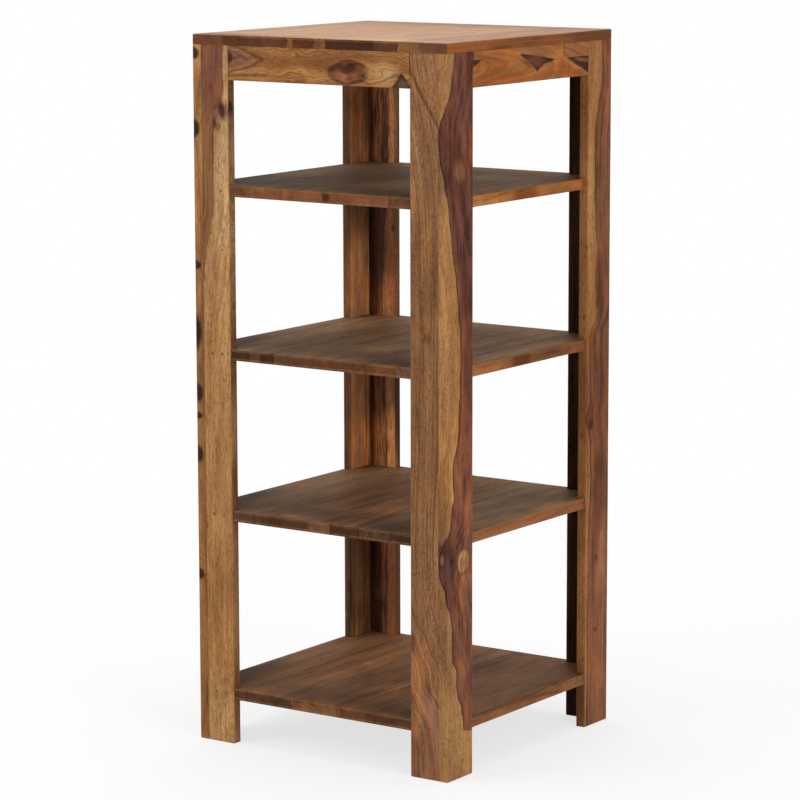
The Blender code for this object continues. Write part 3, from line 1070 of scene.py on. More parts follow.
class Workpiece:
    """One board on the bench, from the saw to the last sanding.

    Attributes:
        name: The name of the finished piece.
        low: The board's lowest corner.
        high: Its highest corner.
        item: The board's object.
        eased: The arrises that are rounded over.
    """

    def __init__(self, name: str, low: Vector, high: Vector) -> None:
        """Note the board's name and size."""
        self.name = name
        self.low = low
        self.high = high
        self.item: bpy.types.Object | None = None
        self.eased: list[Arris] = []

    def adopt(self) -> None:
        """Name the new primitive, and leave its place in its mesh."""
        self.item = bpy.context.object
        self.item.name = self.name
        self.item.data.name = self.name
        bpy.ops.object.transform_apply(location=True, rotation=True, scale=True)

    def saw_block(self) -> None:
        """Saw a straight board to its size."""
        deselect_all()
        bpy.ops.mesh.primitive_cube_add(
            size=1.0, location=(self.low + self.high) / 2, scale=self.high - self.low
        )
        self.adopt()

    def saw_sheet(self, cuts: Iterable[tuple[int, float]], waste: Callable[[Vector], bool]) -> None:
        """Saw a notched board: mark it out flat, cut the notches and give it its thickness.

        Args:
            cuts: The cuts, as axis and place.
            waste: Says whether the middle of a patch lies in a notch.
        """
        deselect_all()
        size = self.high - self.low
        middle = (self.low + self.high) / 2
        corner = Vector((middle.x, middle.y, self.low.z))
        bpy.ops.mesh.primitive_plane_add(size=1.0, location=corner)
        self.adopt()
        bpy.ops.object.mode_set(mode="EDIT")
        bpy.ops.transform.resize(value=(size.x, size.y, 1.0), center_override=corner)
        for axis, place in cuts:
            direction = Vector((0.0, 0.0, 0.0))
            direction[axis] = 1.0
            bpy.ops.mesh.select_all(action="SELECT")
            bpy.ops.mesh.bisect(plane_co=direction * place, plane_no=direction)
        self.pick("FACE", lambda normal, centre: waste(centre))
        bpy.ops.mesh.delete(type="FACE")
        bpy.ops.mesh.select_all(action="SELECT")
        bpy.ops.mesh.extrude_region_move(TRANSFORM_OT_translate={"value": (0.0, 0.0, size.z)})
        bpy.ops.mesh.select_all(action="SELECT")
        bpy.ops.mesh.normals_make_consistent(inside=False)
        self.settle()
        bpy.ops.object.mode_set(mode="OBJECT")

    def settle(self) -> None:
        """Put points, edges and faces in a fixed order, as the saw leaves them in another one each run."""
        shape = bmesh.from_edit_mesh(self.item.data)
        weights = Vector(ORDER_WEIGHTS)
        shape.verts.sort(key=lambda point: point.co.dot(weights))
        shape.edges.sort(key=lambda edge: sum(end.co.dot(weights) for end in edge.verts))
        shape.faces.sort(key=lambda face: face.calc_center_median().dot(weights))
        bmesh.update_edit_mesh(self.item.data)

    def pick(self, kind: str, rule: Callable[..., bool]) -> None:
        """Select edges or faces in edit mode.

        Args:
            kind: EDGE or FACE.
            rule: Says whether an edge, given by its two ends, or a face, given by
                its normal and middle, is wanted.
        """
        bpy.ops.mesh.select_mode(type=kind)
        bpy.ops.mesh.select_all(action="DESELECT")
        shape = bmesh.from_edit_mesh(self.item.data)
        if kind == "EDGE":
            parts = [(edge, [end.co for end in edge.verts]) for edge in shape.edges]
        else:
            parts = [(face, [face.normal, face.calc_center_median()]) for face in shape.faces]
        for part, facts in parts:
            if rule(*facts):
                part.select_set(True)
        bmesh.update_edit_mesh(self.item.data)

    def divide(self, axis: int, pitch: float) -> None:
        """Divide the board into short lengths along one axis."""
        cuts = max(1, round((self.high[axis] - self.low[axis]) / pitch) - 1)
        bpy.ops.object.mode_set(mode="EDIT")
        self.pick("EDGE", lambda start, stop: abs(start[axis] - stop[axis]) > TOUCH)
        bpy.ops.mesh.subdivide(number_cuts=cuts)
        bpy.ops.object.mode_set(mode="OBJECT")

    def face_place(self, axis: int, way: int) -> float:
        """Give the place of one of the board's six faces."""
        return self.high[axis] if way > 0 else self.low[axis]

    def reach(self, point: Vector, arris: Arris) -> float:
        """Give the distance from a point to the farther of the two faces that meet in an arris."""
        return max(abs(point[axis] - self.face_place(axis, way)) for axis, way in enumerate(arris) if way)

    def ease(self, arrises: Sequence[Arris], radius: float, steps: int) -> None:
        """Round arrises over, as sanding does.

        Args:
            arrises: The arrises, each as its ways along X, Y and Z.
            radius: How far the rounding reaches.
            steps: How many faces it has.
        """
        if not arrises:
            return
        bpy.ops.object.mode_set(mode="EDIT")
        self.pick(
            "EDGE",
            lambda *ends: any(all(self.reach(end, arris) < TOUCH for end in ends) for arris in arrises),
        )
        bpy.ops.mesh.bevel(offset=radius, offset_type="OFFSET", segments=steps, profile=0.5, affect="EDGES")
        bpy.ops.object.mode_set(mode="OBJECT")

    def border(self, width: float) -> None:
        """Run a narrow border round each flat face, so that only its rim shades round."""
        bpy.ops.object.mode_set(mode="EDIT")
        self.pick("FACE", lambda normal, centre: max(abs(part) for part in normal) > FLAT)
        bpy.ops.mesh.inset(thickness=width, use_boundary=True, use_even_offset=True)
        bpy.ops.object.mode_set(mode="OBJECT")

    def wear(self, point: Vector) -> float:
        """Give the distance from a point to the nearest eased arris."""
        return min((self.reach(point, arris) for arris in self.eased), default=1.0)

    def rub_down(self, depth: float) -> None:
        """Take a little wood off the eased arrises, here more and there less."""
        select_only(self.item)
        group = self.item.vertex_groups.new(name="arris")
        for point in self.item.data.vertices:
            if self.wear(point.co) < ARRIS_REACH:
                group.add([point.index], 1.0, "REPLACE")
        clouds = bpy.data.textures.new(f"{self.name}_rubbing", "CLOUDS")
        clouds.noise_scale = RUBBING_SCALE
        rubbing = self.item.modifiers.new("rubbing", "DISPLACE")
        rubbing.texture = clouds
        rubbing.texture_coords = "LOCAL"
        rubbing.vertex_group = group.name
        rubbing.mid_level = 0.0
        rubbing.strength = -depth
        bpy.ops.object.modifier_apply(modifier=rubbing.name)

    def note_wear(self) -> None:
        """Store how near each point is to an eased arris."""
        mesh = self.item.data
        worn = mesh.attributes.new("worn", "FLOAT", "POINT")
        for point in mesh.vertices:
            worn.data[point.index].value = max(0.0, 1.0 - self.wear(point.co) / WEAR_REACH)

    def smooth(self) -> None:
        """Shade the rounded arrises smooth and the flat faces flat."""
        select_only(self.item)
        bpy.ops.object.shade_smooth_by_angle(angle=SMOOTH_ANGLE)

    def hang(self, node: str, slot: str, material: bpy.types.Material) -> None:
        """Put the finished board in the place of its solid.

        Args:
            node: The solid's name.
            slot: The record's material slot, which is not used.
            material: The board's finish.
        """
        self.item.data.materials.append(material)
        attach(self.item, BODY)
        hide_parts(node)
        LOG.info("%s: %d faces", self.name, len(self.item.data.polygons))


@dataclass
class Joinery:
    """The sizes and habits that every part of the shelf shares.

    Attributes:
        finish: The rosewood finish.
        figures: The figure of each board, by the name of its solid.
        eased: How far an exposed arris is rounded.
        steps: How many faces the rounding has.
        hairline: How far the arrises of a glue line are broken.
        border: The width of the shading border of each face.
        length: The length of the pieces that a board is divided into.
        rubbed: The most that sanding takes off an arris.
    """

    finish: RosewoodFinish
    figures: Mapping[str, Figure]
    eased: float = 2.0 * MM
    steps: int = 4
    hairline: float = 0.12 * MM
    border: float = 2.0 * MM
    length: float = 45 * MM
    rubbed: float = 0.30 * MM

    def board(
        self, node: str, grain: Grain, slot: str, eased: Sequence[Arris], glued: Sequence[Arris] = (),
        seams: Sequence[tuple[int, int]] = (), sawing: Callable[[Workpiece], None] | None = None,
        boring: Callable[[Workpiece], None] | None = None,
    ) -> Workpiece:
        """Make one board in the place of its solid, and finish it.

        Args:
            node: The solid's name.
            grain: How the board lies.
            slot: The record's material slot.
            eased: Its exposed arrises.
            glued: The arrises of its glue lines.
            seams: Its glued faces, as axis and way.
            sawing: Saws a board that isn't a plain block.
            boring: Bores it before it is sanded.

        Returns:
            The board.
        """
        work = Workpiece(f"{node}_finished", *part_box(node))
        if sawing is None:
            work.saw_block()
            work.divide(grain.along, self.length)
        else:
            sawing(work)
        work.ease(eased, self.eased, self.steps)
        work.ease(glued, self.hairline, 1)
        work.eased = list(eased)
        work.border(self.border)
        if boring is not None:
            boring(work)
        work.rub_down(self.rubbed)
        work.note_wear()
        work.smooth()
        lines = [work.face_place(axis, way) for axis, way in seams]
        middle = (work.low + work.high) / 2
        work.hang(node, slot, self.finish.material(node, grain, self.figures[node], middle, lines))
        return work


@dataclass
class Leg(Joinery):
    """One L-shaped leg: a side board and an end board glued at a right angle.

    Attributes:
        end: The end of the shelf where it stands.
        side: The side of the shelf where it stands.
        recess: How deep the holes over the nail heads are.
        hole: The radius of those holes.
        hole_sides: The corners of their outline.
        filler: What fills them.
        filler_play: How much smaller the filler's radius is.
        filler_depth: How thick it is.
        shrinkage: How far it lies under the board's face.
        dishing: The steps of its hollow: how far in from the last, and how deep.
    """

    end: End = End.FRONT
    side: Side = Side.LEFT
    recess: float = 0.6 * MM
    hole: float = 2.3 * MM
    hole_sides: int = 20
    filler: FillerFinish = FillerFinish()
    filler_play: float = 0.05 * MM
    filler_depth: float = 0.45 * MM
    shrinkage: float = 0.10 * MM
    dishing: tuple[tuple[float, float], ...] = ((0.5 * MM, 0.04 * MM), (0.8 * MM, 0.05 * MM))

    @property
    def name(self) -> str:
        """Give the leg's name."""
        return f"{self.end.value}_{self.side.value}"

    def nail_points(self, board: Workpiece) -> list[Vector]:
        """Find the middles of the filled nail heads, two for each shelf.

        Args:
            board: The leg's end board.

        Returns:
            The points, on the board's outer face.
        """
        face = board.face_place(1, self.end.sign)
        points = []
        for level in range(1, SHELF_COUNT + 1):
            low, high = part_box(f"shelf_{level}_{self.name}_nail")
            across, height = (low.x + high.x) / 2, (low.z + high.z) / 2
            points.append(Vector((across, face, height)))
            points.append(Vector((board.low.x + board.high.x - across, face, height)))
        return points

    def add_disc(self, radius: float, depth: float, place: Vector) -> None:
        """Add a short round rod that lies along Y.

        Args:
            radius: Its radius.
            depth: Its length.
            place: Its middle.
        """
        bpy.ops.mesh.primitive_cylinder_add(
            vertices=self.hole_sides, radius=radius, depth=depth, location=place,
            rotation=(QUARTER_TURN, 0.0, 0.0),
        )

    def bore(self, board: Workpiece) -> None:
        """Sink the small round holes over the nail heads.

        Args:
            board: The leg's end board.
        """
        deselect_all()
        cutters = []
        for point in self.nail_points(board):
            self.add_disc(self.hole, 2 * self.recess, point)
            cutters.append(bpy.context.object)
        drill = join_all(cutters)
        select_only(board.item)
        boring = board.item.modifiers.new("boring", "BOOLEAN")
        boring.operation = "DIFFERENCE"
        boring.object = drill
        bpy.ops.object.modifier_apply(modifier=boring.name)
        bpy.data.objects.remove(drill, do_unlink=True)

    def fill(self, board: Workpiece) -> None:
        """Fill the holes with discs of filler, dished a little as it shrinks.

        Args:
            board: The leg's end board.
        """
        points = self.nail_points(board)
        inward = Vector((0.0, -self.end.sign, 0.0))
        disc = Workpiece(f"{self.name}_leg_nail_filler", points[0], points[0])
        deselect_all()
        sunk = self.shrinkage + self.filler_depth / 2
        self.add_disc(self.hole - self.filler_play, self.filler_depth, points[0] + inward * sunk)
        disc.adopt()
        bpy.ops.object.mode_set(mode="EDIT")
        disc.pick("FACE", lambda normal, centre: normal.dot(inward) < -FLAT)
        for inset, depth in self.dishing:
            bpy.ops.mesh.inset(thickness=inset)
            bpy.ops.transform.translate(value=inward * depth)
        bpy.ops.object.mode_set(mode="OBJECT")
        copies = [disc.item]
        for point in points[1:]:
            select_only(disc.item)
            bpy.ops.object.duplicate(linked=False)
            bpy.ops.transform.translate(value=point - points[0])
            bpy.ops.object.transform_apply(location=True, rotation=True, scale=True)
            copies.append(bpy.context.object)
        join_all(copies)
        disc.smooth()
        disc.item.data.materials.append(self.filler.material(f"{self.name}_filler"))
        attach(disc.item, BODY)
        LOG.info("%s: %d heads", disc.name, len(points))

    def build(self) -> None:
        """Make the two boards and the filled nail heads."""
        sx, sy = self.side.sign, self.end.sign
        self.board(
            f"{self.name}_leg_side_board", Grain.SIDE_POST, "leg_rosewood",
            [(sx, sy, 0), (sx, -sy, 0), (-sx, -sy, 0), (sx, 0, -1), (0, -sy, -1), (0, sy, -1)],
        )
        board = self.board(
            f"{self.name}_leg_{self.end.value}_board", Grain.END_POST, "leg_rosewood",
            [(-sx, sy, 0), (-sx, -sy, 0), (0, sy, -1), (0, -sy, -1), (-sx, 0, -1)], boring=self.bore,
        )
        self.fill(board)


@dataclass
class ApronFrame(Joinery):
    """The four rails under the top, flush with the legs."""

    def build(self) -> None:
        """Make the rails."""
        for end in End:
            self.board(f"{end.value}_apron", Grain.END_RAIL, "apron_rosewood", [(0, -1, -1), (0, 1, -1)])
        for side in Side:
            self.board(f"{side.value}_apron", Grain.SIDE_RAIL, "apron_rosewood", [(-1, 0, -1), (1, 0, -1)])


@dataclass
class PlankTop(Joinery):
    """The top: planks from front to back, glued edge to edge, flush with the legs."""

    def build(self) -> None:
        """Make the planks."""
        for number in range(1, PLANK_COUNT + 1):
            eased = [(0, -1, 1), (0, 1, 1)]
            glued, seams = [(0, -1, -1), (0, 1, -1)], []
            for way, outer in ((-1, number == 1), (1, number == PLANK_COUNT)):
                glued.append((way, 0, -1))
                if outer:
                    eased += [(way, 0, 1), (way, -1, 0), (way, 1, 0)]
                else:
                    glued.append((way, 0, 1))
                    seams.append((0, way))
            self.board(f"top_plank_{number}", Grain.PLANK, "top_rosewood", eased, glued, seams)


@dataclass
class PlankShelf(Joinery):
    """One shelf: planks from front to back, the outer two notched round the legs.

    Attributes:
        level: The shelf's number, 1 for the lowest.
        gap: The space between a notch and its leg.
    """

    level: int = 1
    gap: float = 0.3 * MM

    def notch_lines(self, side: Side) -> tuple[list[tuple[int, float]], Callable[[Vector], bool]]:
        """Lay out the notches at one side of the shelf.

        Args:
            side: The side.

        Returns:
            The cuts, as axis and place, and the rule for what is cut away.
        """
        cuts: list[tuple[int, float]] = []
        zones = []
        for end in End:
            leg = f"{end.value}_{side.value}_leg"
            for node in (f"{leg}_side_board", f"{leg}_{end.value}_board"):
                low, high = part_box(node)
                left, right = low.x - self.gap, high.x + self.gap
                front, back = low.y - self.gap, high.y + self.gap
                zones.append((left, right, front, back))
                cuts += [(0, left), (0, right), (1, front), (1, back)]

        def waste(point: Vector) -> bool:
            """Say whether a point lies in a notch."""
            return any(
                left < point.x < right and front < point.y < back for left, right, front, back in zones
            )

        return cuts, waste

    def saw_notched(self, side: Side) -> Callable[[Workpiece], None]:
        """Give the way to saw the outer plank at one side.

        Args:
            side: The side.

        Returns:
            The sawing of that plank.
        """

        def sawing(work: Workpiece) -> None:
            """Cut the notches, and divide the plank into short lengths."""
            cuts, waste = self.notch_lines(side)
            lengths = round((work.high.y - work.low.y) / self.length)
            pitch = (work.high.y - work.low.y) / lengths
            cuts += [(1, work.low.y + pitch * step) for step in range(1, lengths)]
            work.saw_sheet(cuts, waste)

        return sawing

    def build(self) -> None:
        """Make the planks."""
        for number in range(1, PLANK_COUNT + 1):
            eased = [(0, -1, 1), (0, 1, 1), (0, -1, -1), (0, 1, -1)]
            glued, seams, sawing = [], [], None
            for side, outer in ((Side.LEFT, number == 1), (Side.RIGHT, number == PLANK_COUNT)):
                arrises = [(side.sign, 0, 1), (side.sign, 0, -1)]
                if outer:
                    eased += arrises
                    sawing = self.saw_notched(side)
                else:
                    glued += arrises
                    seams.append((0, side.sign))
            node = f"shelf_{self.level}_plank_{number}"
            self.board(node, Grain.PLANK, "shelf_rosewood", eased, glued, seams, sawing)


@dataclass
class HiddenFixings:
    """The corner blocks and nails, whose solids stay and take their finish here."""

    nodes: Mapping[str, bpy.types.Object]

    def dress(self, ending: str, material: bpy.types.Material) -> None:
        """Finish all solids whose names end alike.

        Args:
            ending: The end of their names.
            material: Their finish.
        """
        for name, item in self.nodes.items():
            if name.endswith(ending):
                item.material_slots[0].material = material
                LOG.info("%s: dressed", name)

    def build(self) -> None:
        """Dress the blocks and the nails."""
        self.dress("corner_block", PineFinish().material("block_softwood"))
        self.dress("nail", NailFinish().material("nail_steel"))


@dataclass(frozen=True)
class Lamp:
    """One soft lamp.

    Attributes:
        name: The lamp's name.
        place: Where it hangs.
        size: Its width.
        power: Its power in watts.
    """

    name: str
    place: tuple[float, float, float]
    size: float
    power: float

    def hang(self, aim: Vector) -> None:
        """Hang the lamp so that it faces a point."""
        light = bpy.data.lights.new(self.name, "AREA")
        light.shape = "DISK"
        light.size = self.size
        light.energy = self.power
        item = bpy.data.objects.new(self.name, light)
        bpy.context.scene.collection.objects.link(item)
        item.location = self.place
        item.rotation_euler = (aim - Vector(self.place)).to_track_quat("-Z", "Y").to_euler()


@dataclass
class Studio:
    """The pale floor, the soft light and the camera.

    Attributes:
        camera_place: Where the camera stands.
        camera_turn: Its turn about the upright, its tilt and its roll, in degrees.
        lens: Its focal length, in millimetres.
        sensor: The width of its sensor, in millimetres.
        far: How far it sees.
        aim: The point that the lamps face.
        lamps: The lamps.
        ambient: The level of the light from all round.
        floor_size: The floor's width.
        floor_fade: Where the floor starts and ends to fade into the white surround.
        floor_white: How white it looks near the shelf and far from it.
        pale: The colour of the floor.
        fibre_waves: Waves per metre of its paper grain.
    """

    camera_place: tuple[float, float, float] = (2.8451, -4.1295, 1.3325)
    camera_turn: tuple[float, float, float] = (34.6507, -9.3371, -0.1335)
    lens: float = 152.16
    sensor: float = 36.0
    far: float = 200.0
    aim: tuple[float, float, float] = (0.0, 0.0, 0.55)
    lamps: tuple[Lamp, ...] = (
        Lamp("overhead", (-0.3, 0.3, 3.6), 2.6, 58.0),
        Lamp("front_left", (-2.2, -3.4, 2.2), 2.2, 60.0),
        Lamp("right", (4.0, -1.6, 1.8), 2.2, 55.0),
    )
    ambient: float = 0.62
    floor_size: float = 90.0
    floor_fade: tuple[float, float] = (0.6, 2.2)
    floor_white: tuple[float, float] = (0.72, 1.0)
    pale: Colour = (0.86, 0.86, 0.86)
    fibre_waves: tuple[float, float, float] = (300.0, 300.0, 300.0)

    @staticmethod
    def seen(w: Wiring) -> Socket:
        """Tell rays that show the background from those that light the object."""
        path = w.node("ShaderNodeLightPath").outputs
        seen = w.math("MAXIMUM", path["Is Camera Ray"], path["Is Glossy Ray"])
        return w.math("MAXIMUM", seen, path["Is Transmission Ray"])

    def surround(self) -> None:
        """Make the world: white to look at, a softer grey as a light."""
        world = bpy.data.worlds.new("studio")
        bpy.context.scene.world = world
        world.use_nodes = True
        w = Wiring(world.node_tree)
        background = world.node_tree.nodes["Background"]
        soft = (self.ambient, self.ambient, self.ambient)
        w.feed(background.inputs["Color"], w.tint(self.seen(w), soft, (1.0, 1.0, 1.0)))
        w.feed(background.inputs["Strength"], 1.0)

    def floor(self) -> None:
        """Lay the pale floor, which fades into the white surround and keeps the shadow."""
        deselect_all()
        bpy.ops.mesh.primitive_plane_add(size=self.floor_size, location=(0.0, 0.0, 0.0))
        item = bpy.context.object
        item.name = "studio_floor"
        w = Coat("studio_paper")
        fibre = w.noise(w.place, self.fibre_waves, 2.0)
        w.look({
            "Base Color": w.tint(fibre, self.pale, tuple(0.98 * part for part in self.pale)),
            "Roughness": w.total(0.9, w.centred(fibre, 0.1)), "Specular IOR Level": 0.0,
        })
        away = w.step(w.vector_math("LENGTH", w.place).outputs[1], *self.floor_fade)
        blend = w.node("ShaderNodeMixShader")
        w.fill(blend.inputs, (
            w.times(self.seen(w), w.blend(away, *self.floor_white)),
            w.tree.nodes["Principled BSDF"].outputs[0], w.node("ShaderNodeEmission").outputs[0],
        ))
        w.feed(w.tree.nodes["Material Output"].inputs["Surface"], blend.outputs[0])
        item.data.materials.append(w.material)

    def camera(self) -> None:
        """Stand the camera where the portrait is taken from."""
        data = bpy.data.cameras.new("portrait")
        data.sensor_width = self.sensor
        data.lens = self.lens
        data.clip_end = self.far
        item = bpy.data.objects.new("portrait", data)
        bpy.context.scene.collection.objects.link(item)
        turn, tilt, roll = (math.radians(angle) for angle in self.camera_turn)
        upright = Matrix.Rotation(QUARTER_TURN + tilt, 4, "X")
        aim = Matrix.Rotation(turn, 4, "Z") @ upright @ Matrix.Rotation(roll, 4, "Z")
        item.matrix_world = Matrix.Translation(self.camera_place) @ aim
        bpy.context.scene.camera = item

    def build(self) -> None:
        """Set the studio up."""
        self.surround()
        self.floor()
        for lamp in self.lamps:
            lamp.hang(Vector(self.aim))
        self.camera()
        bpy.context.scene.view_settings.view_transform = "Standard"
        LOG.info("studio: set up")


def plain_figure(node: str, grain: Grain, timber: Timber, seed: int) -> Figure:
    """Draw a quiet figure for a board that shows no mark of its own.

    Args:
        node: The board's solid.
        grain: How the board lies.
        timber: The log that it comes from.
        seed: Picks the figure.

    Returns:
        The figure: all heartwood, cut at some depth from the log's middle.
    """
    draw = random.Random(seed)
    low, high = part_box(node)
    across = grain.value[0]
    side = draw.choice((-1, 1))
    start = low[across] if side > 0 else high[across]
    edge = start / MM - side * draw.uniform(15.0, 45.0)
    return Figure(
        timber, seed, ((0.0, edge),), heart_side=side, pith_offset=draw.uniform(0.10, 0.20),
        pith_depth=-draw.uniform(0.02, 0.07), pith_slope=draw.uniform(-0.10, 0.10),
        wander=draw.uniform(0.004, 0.008), banding=0.4, streaks=0.6, mottle=0.7, flecks=0.6,
    )


INK = (0.050, 0.018, 0.009)
SOOT = (0.028, 0.011, 0.007)
CORDOVAN = (0.130, 0.046, 0.021)
EMBER = (0.310, 0.115, 0.038)
MAUVE = (0.150, 0.065, 0.052)
CARAMEL = (0.460, 0.180, 0.052)
BRICK = (0.290, 0.110, 0.042)
ALL = 500.0
INNER_X = (-209.0, 7.0)
INNER_Y = (204.0, 7.0)
# Heights where painted shade darkens the front left leg's end faces, where the lower three shelves and the
# apron meet it.
PAINTED_SHADE_HEIGHTS = (60, 372, 575, 990)
SIDE_KNOTS = ((1032, 9), (922, 13), (720, 7), (619, 26), (528, 15), (495, 5), (436, 13), (254, 9))

